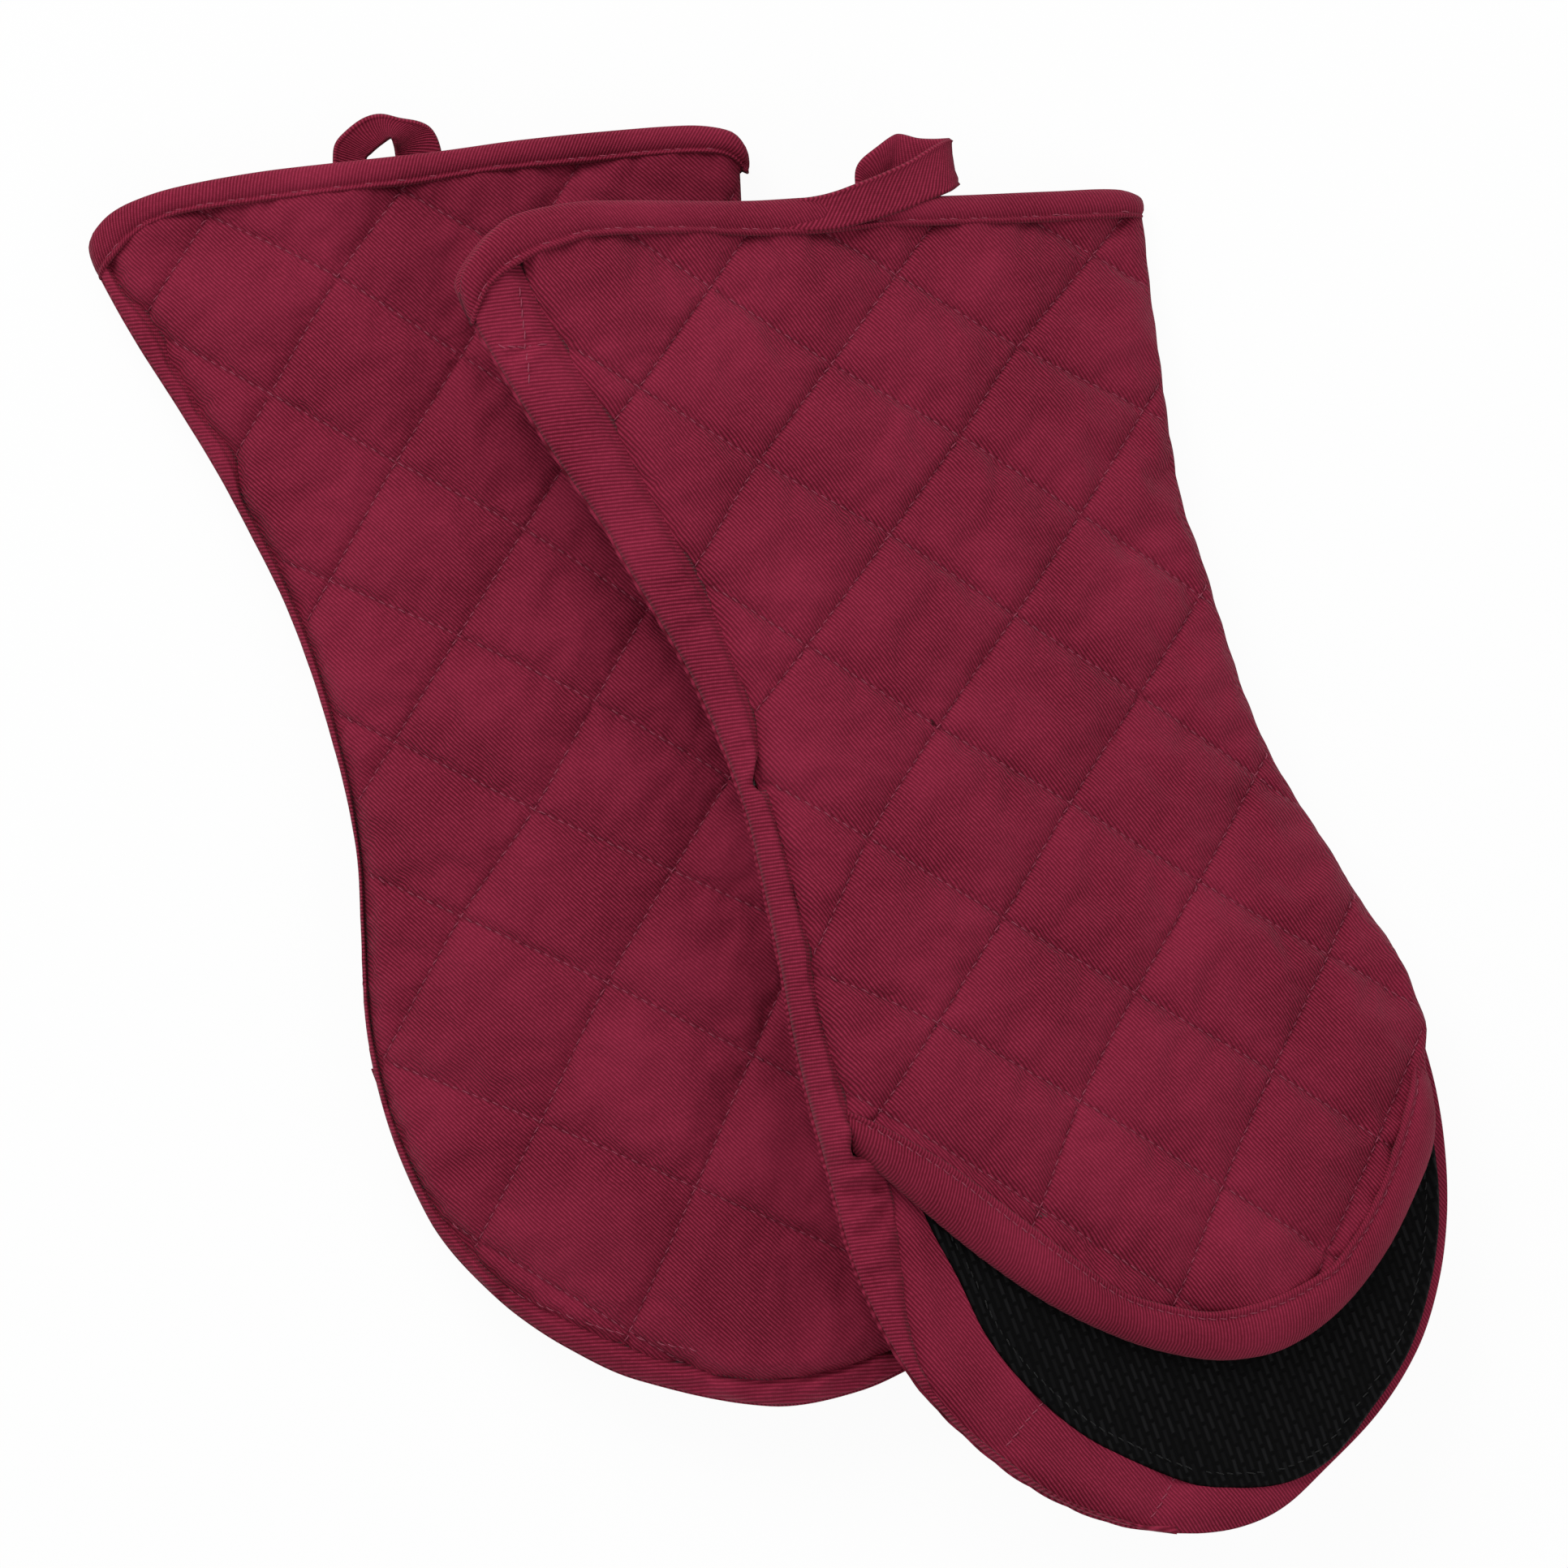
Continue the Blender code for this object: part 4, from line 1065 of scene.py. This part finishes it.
def recalculate(piece):
    """Turn a closed mesh's faces outward."""
    work = bmesh.new()
    work.from_mesh(piece.data)
    bmesh.ops.recalc_face_normals(work, faces=work.faces)
    work.to_mesh(piece.data)
    work.free()
    piece.data.shade_smooth()


def hinge_span(lay):
    """Start and end of the stretch of cloth that bends at the palm."""
    low = lay.world(0, HINGE_S - FOLD_HALF, 0)
    return low, low + lay.along * 22 * MM


def carry(lay, piece, body, nodes=()):
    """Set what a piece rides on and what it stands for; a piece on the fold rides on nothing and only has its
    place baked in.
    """
    if body == "fold":
        start, end = hinge_span(lay)
        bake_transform(piece)
    else:
        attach(piece, body)
    if nodes:
        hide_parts(*[f"{lay.hand}_{node}" for node in nodes])


def carry_stitches(lay, name, body):
    """Set what a piece's stitches ride on."""
    carry(lay, bpy.data.objects[f"{name}_stitches"], body)


def between(first, second, share, step=OUTLINE_STEP):
    """A chain part of the way from one chain to another."""
    rows = [resample_count(chain, BETWEEN_COUNT) for chain in (first, second)]
    return resample(rows[0] * (1 - share) + rows[1] * share, step)


def joined(*chains):
    """One closed outline from chains that follow each other."""
    outline = [chains[0]]
    for chain in chains[1:]:
        if np.linalg.norm(chain[0] - outline[-1][-1]) < 0.5 * MM:
            chain = chain[1:]
        outline.append(chain)
    outline = np.concatenate(outline)
    if np.linalg.norm(outline[0] - outline[-1]) < 0.5 * MM:
        outline = outline[:-1]
    return outline


def thumb_outline(lay, left):
    """Outline of the thumb side's cloth: cuff, right side, flap edge, left side."""
    cuff = between(lay.cuff, lay.cuff_inner, 0.45)
    edge = between(lay.flap_outer, lay.flap_inner, 0.4)
    start, end = cuff[0], cuff[-1]
    corner = edge[-1, 1] - (FLAP_CORNER if lay.thumb_sign > 0 else 0)
    right = lay.right[(lay.right[:, 1] > end[1]) & (lay.right[:, 1] < corner)]
    side = left[(left[:, 1] > max(start[1], left[0, 1])) & (left[:, 1] < edge[0, 1])]
    cuff = cuff[cuff[:, 0] > side[0, 0]]
    return joined(cuff, right, edge[::-1], side[::-1])


def back_outline(lay, left):
    """Outline of the back's cloth: cuff, right side and round the fingertips."""
    cuff = between(lay.cuff, lay.cuff_inner, 0.45)
    right = lay.right[lay.right[:, 1] > cuff[-1, 1]]
    side = left[left[:, 1] > max(cuff[0, 1], left[0, 1])]
    cuff = cuff[cuff[:, 0] > side[0, 0]]
    return joined(cuff, right, side[::-1])


def side_roll(lay, name, outer, inner, thumb_side):
    """The other half's cloth, rolled round the side seam onto this half."""
    count = round(chain_length(outer) / ROLL_STEP)
    rim, crease = resample_count(outer, count), resample_count(inner, count)
    crumples = [(lay.under(pixel, ROLL_LEVEL), reach) for pixel, reach in
                (UPPER_CRUMPLES if thumb_side else LOWER_CRUMPLES)]
    pits = [lay.under(pixel, ROLL_LEVEL) for pixel in (UPPER_PITS if thumb_side else ())]
    from_end = np.linspace(chain_length(outer), 0, count + 1)
    taper = smooth(-2 * MM, ROLL_TAPER, from_end)
    crease = rim + (crease - rim) * taper[:, None]
    width = np.linalg.norm(crease - rim, axis=1) + 1e-9
    inward_way = (crease - rim) / width[:, None]
    rim = rim + inward_way * ((1.6 - taper) * END_INSET)[:, None]
    rows, heights = [rim + inward_way * ROLL_TUCK], [np.full(count + 1, -ROLL_TUCK)]
    for share in CREASE_SHARES:
        plan = rim + (crease - rim) * share
        high = lay.form(plan, thumb_side)
        if thumb_side:
            settled = smooth(HINGE_S, HINGE_S + ROLL_SETTLE, plan[:, 1])
            full = ROLL_END_HEIGHT + (ROLL_HEIGHT - ROLL_END_HEIGHT) * settled
            roll = full * taper * math.sin(math.pi * min(1, share * 0.74 + 0.02)) ** 0.7
            palm = smooth(HINGE_S - 4 * MM, HINGE_S + 12 * MM, plan[:, 1])
            high = high * (1 - palm) + roll * palm
        folds = noise_at(plan * (0.35, 1.0), FOLD_SIZE, 3.0) * FOLD_HEIGHT
        folds = folds * np.minimum(1, width / (9 * MM)) ** 2
        crumpled = sum(np.exp(-(np.linalg.norm(plan - spot, axis=1) / (reach * MM)) ** 2)
                       for spot, reach in crumples)
        crumple = noise_at(plan * (0.5, 1.0), CRUMPLE_SIZE, 13.0) * CRUMPLE_HEIGHT
        folds = folds + crumple * np.minimum(1, crumpled)
        high = high + folds * taper * math.sin(math.pi * (0.1 + share * 0.85)) ** 0.6 * min(1, share * 5)
        high -= (VALLEY_DEPTH * 0.9 * math.exp(-((1 - share) / 0.14) ** 2)
                 * (1 - palm * 0.6 if thumb_side else 1))
        for pit in pits:
            high -= PIT_DEPTH * np.exp(-(np.linalg.norm(plan - pit, axis=1) / PIT_REACH) ** 2)
        rows.append(plan)
        heights.append(np.maximum(high, 0) if share else high * 0)
    rows.append(crease + inward_way * ROLL_TUCK)
    deep = palm if thumb_side else 0
    heights.append(heights[-1] - 1.2 * MM * (1 - deep) - (heights[-1] + 0.8 * MM) * deep)
    sign = lay.side(thumb_side)
    points = np.concatenate([lay.worlds(plan, high * sign) for plan, high in zip(rows, heights)])
    plans = np.concatenate(rows)
    piece = new_piece(name, points, quads(len(rows), count + 1), finishes()["strip"], plans)
    face_up(piece, lay.up * sign)
    thicken(piece, ROLL_SKIN)
    return piece


def quads(rows, columns, closed_rows=False, closed_columns=False):
    """Faces of a grid of points, row after row."""
    faces = []
    for r in range(rows if closed_rows else rows - 1):
        for c in range(columns if closed_columns else columns - 1):
            q, d = (r + 1) % rows, (c + 1) % columns
            faces.append((r * columns + c, r * columns + d, q * columns + d, q * columns + c))
    return faces


def chain_length(chain):
    return float(np.linalg.norm(np.diff(chain, axis=0), axis=1).sum())


def cuff_tape(lay, name):
    """Bias tape folded over the cuff's rim, all the way round its mouth."""
    edge, inner = resample_count(lay.cuff, CUFF_COUNT), resample_count(lay.cuff_inner, CUFF_COUNT)

    def turn(share):
        plan = edge + (inner - edge) * share
        above = lay.worlds(plan, lay.form(plan, True) * lay.thumb_sign)
        below = lay.worlds(plan, -lay.form(plan, False) * lay.thumb_sign)
        return np.concatenate([above, below[::-1][1:-1]])

    middle = turn(0.5)
    runs = runs_of(closed(middle))
    count = round(runs[-1] / TAPE_STEP)
    places = np.linspace(0, runs[-1], count, endpoint=False)

    def stations(ring):
        return along_chain(closed(ring), runs, places)

    start, end = stations(turn(0.0)), stations(turn(1.0))
    width = end - start
    course = np.roll(start, -2, axis=0) - np.roll(start, 2, axis=0)
    normal = np.cross(course, width)
    normal /= np.linalg.norm(normal, axis=1)[:, None]
    normal *= np.sign(np.einsum("ij,ij->i", normal, start - start.mean(0)).mean())
    height = np.abs((stations(middle) - np.array(lay.root)) @ np.array(lay.up))
    depth = np.minimum(5.0 * MM, 0.5 * height + 1.1 * MM)
    wave = noise_at(np.stack([places, places * 0], 1), TAPE_WAVE, 2.0)
    rings = []
    sideways = np.abs(normal @ np.array(lay.across))
    for share, lift in TAPE_OUTSIDE:
        rise = tape_rise(share, lift, places, wave) * (1 - 0.8 * sideways ** 2)
        rings.append(stations(turn(share)) + normal * rise[:, None])
    for share, part in TAPE_INSIDE:
        rings.append(stations(turn(share)) - normal * (depth * part)[:, None])
    return taped(name, rings, places, closed=True)


def tape_rise(share, lift, places, wave):
    """How far a run of a tape stands over the cloth, gathered by its stitches near the lip."""
    gathers = noise_at(np.stack([places, places * 0 + share * 2 * MM], 1), TAPE_GATHER, 9.0)
    near = smooth(0.78, 0.9, share) * (lift > 0)
    return lift * MM * (1 + 0.12 * wave * (lift > 0) + 0.45 * gathers * near)


def taped(name, rings, places, closed):
    """A closed tape from its lengthwise runs."""
    points = np.concatenate(rings)
    across = np.concatenate([[0], np.cumsum([np.linalg.norm(b - a, axis=1).mean() for a, b in
                                             zip(rings, rings[1:])])])
    uvs = np.concatenate([np.stack([places, np.full(len(places), w)], axis=1) for w in across])
    faces = quads(len(rings), len(places), True, closed)
    if not closed:
        columns = len(places)
        faces += [tuple(r * columns for r in range(len(rings))),
                  tuple(r * columns + columns - 1 for r in reversed(range(len(rings))))]
    piece = new_piece(name, points, faces, finishes()["tape"], uvs)
    recalculate(piece)
    return piece


def flap_tape(lay, name):
    """Bias tape folded over the open edge of the thumb flap."""
    outer, inner = [np.concatenate([[2 * chain[0] - chain[1]], chain])
                    for chain in (lay.flap_outer, lay.flap_inner)]
    count = round(chain_length(outer) / TAPE_STEP)
    edge, inner = resample_count(outer, count), resample_count(inner, count)
    places = np.linspace(0, chain_length(outer), count + 1)
    sunk = TAPE_END_SINK * (1 - smooth(0, 11 * MM, places)
                            + 0.8 * smooth(places[-1] - 16 * MM, places[-1], places))
    wave = noise_at(np.stack([places, places * 0], 1), TAPE_WAVE, 7.0)
    rings = []
    for share, lift in TAPE_OUTSIDE:
        plan = edge + (inner - edge) * share
        high = lay.form(plan, True) + tape_rise(share, lift, places, wave) - sunk
        rings.append(lay.worlds(plan, np.maximum(high, FLAP_FLOOR * 0.9) * lay.thumb_sign))
    top = lay.form(edge, True) - sunk
    floor = np.minimum(FLAP_FLOOR - 0.3 * MM, top)
    for share, part in TAPE_INSIDE:
        plan = edge + (inner - edge) * share
        rings.append(lay.worlds(plan, (top + (floor - top) * min(1, part)) * lay.thumb_sign))
    return taped(name, rings, places, closed=False)


def palm_height(gap):
    """Height of the finger half's palm over the seam plane, by the distance from its edge."""
    return 2.0 * MM * smooth(-1 * MM, 9 * MM, gap) - 0.2 * MM


def palm_cloth(lay, name):
    """Twill on the palm side of the fingers."""
    start = HINGE_S + 1 * MM
    left = lay.palm_edge if lay.palm_edge is not None else lay.left
    left = left[left[:, 1] > start]
    right = lay.right[lay.right[:, 1] > start]
    right = right[right[:, 0] > left[-1, 0] + MM]
    outline = joined(left, right[::-1])
    shown = clipped(lay.palm_quilt, outline, 1.5 * MM)
    places, faces = cloth_plan(outline, shown)
    gap = edge_of(outline).gaps(places)
    seam = Near(np.concatenate(shown)).gaps(places)
    height = palm_height(gap) - 1.5 * MM * np.clip(1 - seam / (9 * MM), 0, 1) ** 2 * smooth(0, 5 * MM, gap)
    bare = smooth(1 * MM, 6 * MM, Near(lay.pad).gaps(places)) * ~inside(places, lay.pad)
    height += PALM_ROLL * bare * np.exp(-((gap - 5 * MM) / (3.5 * MM)) ** 2)
    height += bumps(places, *PALM_RIPPLE) * smooth(0, 4 * MM, gap)
    height += bumps(places, *PALM_PUCKER) * (1 - smooth(4 * MM, 14 * MM, gap)) * smooth(0, 2 * MM, gap)
    piece = new_piece(name, lay.worlds(places, height * lay.thumb_sign), faces, finishes()["plain"], places)
    face_up(piece, lay.up * lay.thumb_sign)
    sew(lay, f"{name}_stitches", shown, piece, lay.thumb_sign)
    thicken(piece, COVER_SKIN)
    return piece


def finger_pad(lay, name):
    """Black grip cloth on the fingers' palm."""
    outline = lay.pad
    places, faces = cloth_plan(outline, (), CLOTH_STEP * 1.2)
    gap = edge_of(joined(outline, outline[:1])).gaps(places)
    height = palm_height(gap + 9 * MM) + 1.0 * MM * smooth(0, 1.0 * MM, gap)
    seam = np.exp(-((gap - PAD_SEAM) / (1.2 * MM)) ** 2)
    height += 0.7 * MM * smooth(PAD_SEAM, PAD_SEAM + 12 * MM, gap) - 0.7 * MM * seam
    piece = new_piece(name, lay.worlds(places, height * lay.thumb_sign), faces, finishes()["grip"], places)
    face_up(piece, lay.up * lay.thumb_sign)
    line = inward(resample(outline, OUTLINE_STEP), outline, PAD_SEAM)
    sew(lay, f"{name}_stitches", [line], piece, lay.thumb_sign, "black")
    thicken(piece, 0.8 * MM)
    return piece


def thumb_pad(lay, name):
    """Black grip cloth on the inner face of the thumb flap."""
    ring = resample(lay.flap_outer, OUTLINE_STEP)
    outline = inward(ring, joined(ring), 8 * MM)
    outline = outline[outline[:, 1] > HINGE_S + 1 * MM]
    places, faces = cloth_plan(outline, (), CLOTH_STEP * 1.4)
    gap = edge_of(joined(outline, outline[:1])).gaps(places)
    height = FLAP_FLOOR + 0.2 * MM - 0.2 * MM * smooth(0, 2 * MM, gap)
    piece = new_piece(name, lay.worlds(places, height * lay.thumb_sign), faces, finishes()["grip"], places)
    face_up(piece, lay.up * -lay.thumb_sign)
    thicken(piece, 1.0 * MM)
    return piece


def sleeve_lining(lay, name):
    """Plain lining: one bag that is open at the cuff."""
    mouth = between(lay.cuff, lay.cuff_inner, 0.7)
    around = joined(mouth, lay.right[lay.right[:, 1] > mouth[-1, 1]],
                    lay.left[lay.left[:, 1] > mouth[0, 1]][::-1])
    outline = inward(resample(around, OUTLINE_STEP), around, LINING_INSET)
    places, faces = cloth_plan(outline, (), 4 * MM)
    gap = edge_of(closed(outline)).gaps(places)
    mouth_gap = edge_of(mouth).gaps(places)
    open_mouth = (mouth_gap < LINING_INSET + 0.8 * MM) * 1.0
    rise = np.maximum(smooth(0, 8 * MM, gap), open_mouth)
    beyond = smooth(BAG_END - 6 * MM, BAG_END, places[:, 1])
    thumb, back = [np.maximum(lay.form(places, half) - LINING_DROP, 0.05 * MM) * rise
                   for half in (True, False)]
    drop = PALM_DROP * (0.5 + 0.5 * smooth(0, 14 * MM, gap))
    lip = lay.form(places, True)
    thumb = np.where(open_mouth > 0, lip * 0.5 * smooth(4 * MM, 9 * MM, lip), thumb)
    thumb = thumb * (1 - beyond) - drop * beyond
    count = len(places)
    points = np.concatenate([lay.worlds(places, thumb * lay.thumb_sign),
                             lay.worlds(places, -np.maximum(back, (drop + 0.4 * MM) * beyond)
                                        * lay.thumb_sign)])
    faces = faces + [tuple(k + count for k in reversed(face)) for face in faces]
    return new_piece(name, points, faces, finishes()["lining"], np.concatenate([places, places]))


def hanging_loop(lay, name, edges):
    """A loop of tape, sewn to the cuff and folded over."""
    first, second = [], []
    for a, high_a, b, high_b in edges:
        for chain, pixel, high in ((first, a, high_a), (second, b, high_b)):
            place = lay.under(pixel, high * MM)
            chain.append(tuple(lay.world(place[0], place[1], high * MM)))
    rows = [stepped_curve(chain, LOOP_STEPS) for chain in (first, second)]
    count = len(rows[0]) - 1
    shares = (0.0, 0.05, 0.14, 0.32, 0.5, 0.68, 0.84, 0.93, 1.0)
    swell = (0.0, 0.5, 0.7, 0.9, 0.9, 0.85, 0.35, 0.5, 0.0)
    course = np.gradient(rows[0], axis=0) + np.gradient(rows[1], axis=0)
    normal = np.cross(course, rows[1] - rows[0])
    normal /= np.linalg.norm(normal, axis=1)[:, None] + 1e-12
    points = np.concatenate([rows[0] + (rows[1] - rows[0]) * t + normal * s * MM
                             for t, s in zip(shares, swell)])
    run = chain_length(rows[0])
    uvs = np.concatenate([np.stack([np.linspace(0, run, count + 1), np.full(count + 1, t * 10 * MM)], 1)
                          for t in shares])
    piece = new_piece(name, points, quads(len(shares), count + 1), finishes()["tape"], uvs)
    solid = piece.modifiers.new("skin", "SOLIDIFY")
    solid.thickness = LOOP_SKIN
    solid.offset = 0
    apply_modifiers(piece)
    recalculate(piece)
    return piece


def stepped_curve(points, steps):
    """A smooth curve with the same number of steps between each two points."""
    points = np.asarray(points, float)
    ends = np.concatenate([[2 * points[0] - points[1]], points, [2 * points[-1] - points[-2]]])
    slopes = (ends[2:] - ends[:-2]) / 2
    rows = []
    for k in range(len(points) - 1):
        rows += [eased_between(t, points[k], points[k + 1], 1, slopes[k], slopes[k + 1])
                 for t in np.linspace(0, 1, steps, endpoint=False)]
    rows.append(points[-1])
    return np.array(rows)


class MITTS_OT_covers(bpy.types.Operator):
    """Make the quilted twill of both halves of both mitts"""

    bl_idname = "mitts.covers"
    bl_label = "Quilted covers"

    def execute(self, context):
        for lay in mitts():
            top = lay.thumb_sign > 0
            side = lay.crease if top else lay.left
            name = f"{lay.hand}_thumb_cover"
            lines = (lay.top_quilt, lay.bottom_quilt) if top else (lay.bottom_quilt, lay.top_quilt)
            piece = cover(lay, name, thumb_outline(lay, side), lines[0], True, side if top else None)
            carry(lay, piece, "fold", ("front_panel", "front_batting", "flap_fold", "thumb_panel",
                                       "thumb_batting", "thumb_lining"))
            carry_stitches(lay, name, "fold")
            side = lay.left if top else lay.crease
            name = f"{lay.hand}_back_cover"
            piece = cover(lay, name, back_outline(lay, side), lines[1], False, None if top else side)
            carry(lay, piece, lay.sleeve, ("back_panel", "back_batting"))
            carry_stitches(lay, name, lay.sleeve)
        return {"FINISHED"}


class MITTS_OT_rolls(bpy.types.Operator):
    """Make the cloth that rolls round the side seams"""

    bl_idname = "mitts.rolls"
    bl_label = "Side rolls"

    def execute(self, context):
        for lay in mitts():
            thumb_up = lay.thumb_sign > 0
            inner = joined(lay.crease, lay.palm_edge) if thumb_up else lay.crease
            piece = side_roll(lay, f"{lay.hand}_side_roll", lay.left, inner, thumb_up)
            carry(lay, piece, lay.sleeve, ())
            cloth = piece if thumb_up else bpy.data.objects[f"{lay.hand}_back_cover"]
            lines = [lay.trace(line, thumb_up) for line in (UPPER_TOPSTITCH if thumb_up else LOWER_TOPSTITCH)]
            name = f"{lay.hand}_top_stitches"
            carry(lay, sew(lay, name, lines, cloth, 1), lay.sleeve)
        return {"FINISHED"}


class MITTS_OT_tapes(bpy.types.Operator):
    """Make the bindings of the cuffs and the thumb flaps, with their stitches"""

    bl_idname = "mitts.tapes"
    bl_label = "Bindings"

    def execute(self, context):
        for lay in mitts():
            name = f"{lay.hand}_cuff_tape"
            piece = cuff_tape(lay, name)
            line = between(lay.cuff, lay.cuff_inner, TAPE_STITCH_SHARE)[2:-2]
            sew(lay, f"{name}_stitches", [line], piece, 1)
            sew(lay, f"{name}_under_stitches", [line], piece, -1)
            carry(lay, piece, lay.sleeve, ("cuff_binding",))
            carry_stitches(lay, name, lay.sleeve)
            carry_stitches(lay, f"{name}_under", lay.sleeve)
            name = f"{lay.hand}_flap_tape"
            piece = flap_tape(lay, name)
            line = between(lay.flap_outer, lay.flap_inner, TAPE_STITCH_SHARE)
            sew(lay, f"{name}_stitches", [line], piece, lay.thumb_sign)
            carry(lay, piece, lay.flap, ("flap_binding",))
            carry_stitches(lay, name, lay.flap)
        return {"FINISHED"}


class MITTS_OT_palms(bpy.types.Operator):
    """Make the fingers' palm cloth and the grip pads"""

    bl_idname = "mitts.palms"
    bl_label = "Palms and grip pads"

    def execute(self, context):
        for lay in mitts():
            name = f"{lay.hand}_palm_cloth"
            carry(lay, palm_cloth(lay, name), lay.sleeve,
                  ("finger_palm", "finger_palm_batting", "finger_palm_lining"))
            carry_stitches(lay, name, lay.sleeve)
            name = f"{lay.hand}_finger_pad"
            carry(lay, finger_pad(lay, name), lay.sleeve, ("finger_grip_pad",))
            carry_stitches(lay, name, lay.sleeve)
            carry(lay, thumb_pad(lay, f"{lay.hand}_thumb_pad"), lay.flap,
                  ("thumb_grip_pad", "thumb_palm_batting", "thumb_palm_lining"))
        return {"FINISHED"}


class MITTS_OT_linings(bpy.types.Operator):
    """Make the plain linings of the sleeves"""

    bl_idname = "mitts.linings"
    bl_label = "Linings"

    def execute(self, context):
        for lay in mitts():
            carry(lay, sleeve_lining(lay, f"{lay.hand}_sleeve_lining"), lay.sleeve,
                  ("back_lining", "front_lining"))
        return {"FINISHED"}


class MITTS_OT_loops(bpy.types.Operator):
    """Make the hanging loops of folded tape"""

    bl_idname = "mitts.loops"
    bl_label = "Hanging loops"

    def execute(self, context):
        for lay, edges in zip(mitts(), (UPPER_LOOP, LOWER_LOOP)):
            piece = hanging_loop(lay, f"{lay.hand}_loop_tape", edges)
            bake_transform(piece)
            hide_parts(f"{lay.hand}_hanging_loop")
        return {"FINISHED"}


def mitts():
    """Both mitts' lays, worked out once."""
    if not _made:
        _made["upper"], _made["lower"] = lay_upper(), lay_lower()
    return _made["upper"], _made["lower"]


class MITTS_OT_stage(bpy.types.Operator):
    """Make the floor, the lights, the world and the camera"""

    bl_idname = "mitts.stage"
    bl_label = "Stage"

    def execute(self, context):
        scene = context.scene
        scene.view_settings.view_transform = "Standard"
        make_floor(scene.mitt_colours.floor)
        make_lights(scene)
        make_camera(scene)
        return {"FINISHED"}


def make_floor(colour):
    half = FLOOR_SIZE / 2
    corners = [(-half, -half, -FLOOR_DROP), (half, -half, -FLOOR_DROP), (half, half, -FLOOR_DROP),
               (-half, half, -FLOOR_DROP)]
    finish = Finish("floor", 0.9)
    grain = finish.noise(finish.node("ShaderNodeTexCoord", {}, {}, output=3), 60.0)
    finish.colour(finish.mix(grain * 0.2, colour, [c * 0.985 for c in colour]))
    glow = finish.node("ShaderNodeEmission", {}, {"Color": (1, 1, 1, 1), "Strength": 1.0})
    rays = [finish.node("ShaderNodeLightPath", {}, {}, output=name)
            for name in ("Is Camera Ray", "Is Glossy Ray", "Is Transmission Ray")]
    shown = rays[0].math("MAXIMUM", rays[1]).math("MAXIMUM", rays[2])
    plain = Wire(finish, finish.shader.outputs[0])
    whole = finish.node("ShaderNodeMixShader", {}, {0: shown * FLOOR_GLOW, 1: plain, 2: glow})
    finish.tree.links.new(whole.socket, finish.tree.nodes["Material Output"].inputs["Surface"])
    floor = new_piece("floor", corners, [(0, 1, 2, 3)], finish.material)


def make_lights(scene):
    for name, place, power in (("key", KEY_PLACE, KEY_POWER), ("fill", FILL_PLACE, FILL_POWER)):
        light = bpy.data.lights.new(name, "AREA")
        light.size = KEY_SIZE
        light.energy = power
        lamp = bpy.data.objects.new(name, light)
        lamp.location = place
        lamp.rotation_euler = (-place).to_track_quat("-Z", "Y").to_euler()
        scene.collection.objects.link(lamp)
    world = bpy.data.worlds.new("studio")
    scene.world = world
    world.use_nodes = True
    tree = world.node_tree
    tree.nodes.clear()
    path = tree.nodes.new("ShaderNodeLightPath")
    light = tree.nodes.new("ShaderNodeBackground")
    light.inputs["Strength"].default_value = WORLD_LIGHT
    backdrop = tree.nodes.new("ShaderNodeBackground")
    backdrop.inputs["Strength"].default_value = 1.0
    for shader in (light, backdrop):
        shader.inputs["Color"].default_value = (1.0, 1.0, 1.0, 1.0)
    mix = tree.nodes.new("ShaderNodeMixShader")
    out = tree.nodes.new("ShaderNodeOutputWorld")
    tree.links.new(path.outputs["Is Camera Ray"], mix.inputs[0])
    tree.links.new(light.outputs[0], mix.inputs[1])
    tree.links.new(backdrop.outputs[0], mix.inputs[2])
    tree.links.new(mix.outputs[0], out.inputs["Surface"])


def make_camera(scene):
    lens = bpy.data.cameras.new("camera")
    lens.sensor_width = 36.0
    lens.lens = lens.sensor_width * CAMERA_HEIGHT * PIXELS_PER_METRE / PHOTO_SIZE
    lens.clip_start = 0.1
    lens.clip_end = 20.0
    camera = bpy.data.objects.new("camera", lens)
    camera.location = PICTURE_CENTRE + Vector((0, 0, CAMERA_HEIGHT))
    scene.collection.objects.link(camera)
    scene.camera = camera


class MITTS_PT_panel(bpy.types.Panel):
    """Sizes, colours and pieces of the mitts"""

    bl_label = "Oven mitts"
    bl_idname = "MITTS_PT_panel"
    bl_space_type = "VIEW_3D"
    bl_region_type = "UI"
    bl_category = "Mitts"

    def draw(self, context):
        for group in (context.scene.mitt_sizes, context.scene.mitt_colours):
            for name in group.bl_rna.properties.keys():
                if name not in ("rna_type", "name"):
                    self.layout.prop(group, name)
        for operator in OPERATORS:
            self.layout.operator(operator.bl_idname)


OPERATORS = (MITTS_OT_covers, MITTS_OT_rolls, MITTS_OT_tapes, MITTS_OT_palms, MITTS_OT_linings,
             MITTS_OT_loops, MITTS_OT_stage)
CLASSES = (MittSizes, MittColours, MITTS_PT_panel, *OPERATORS)


def register():
    for item in CLASSES:
        bpy.utils.register_class(item)
    bpy.types.Scene.mitt_sizes = bpy.props.PointerProperty(type=MittSizes)
    bpy.types.Scene.mitt_colours = bpy.props.PointerProperty(type=MittColours)


def unregister():
    del bpy.types.Scene.mitt_sizes
    del bpy.types.Scene.mitt_colours
    for item in reversed(CLASSES):
        bpy.utils.unregister_class(item)


def main():
    register()
    for operator in OPERATORS:
        group, name = operator.bl_idname.split(".")
        getattr(getattr(bpy.ops, group), name)()


if __name__ == "__main__":
    main()
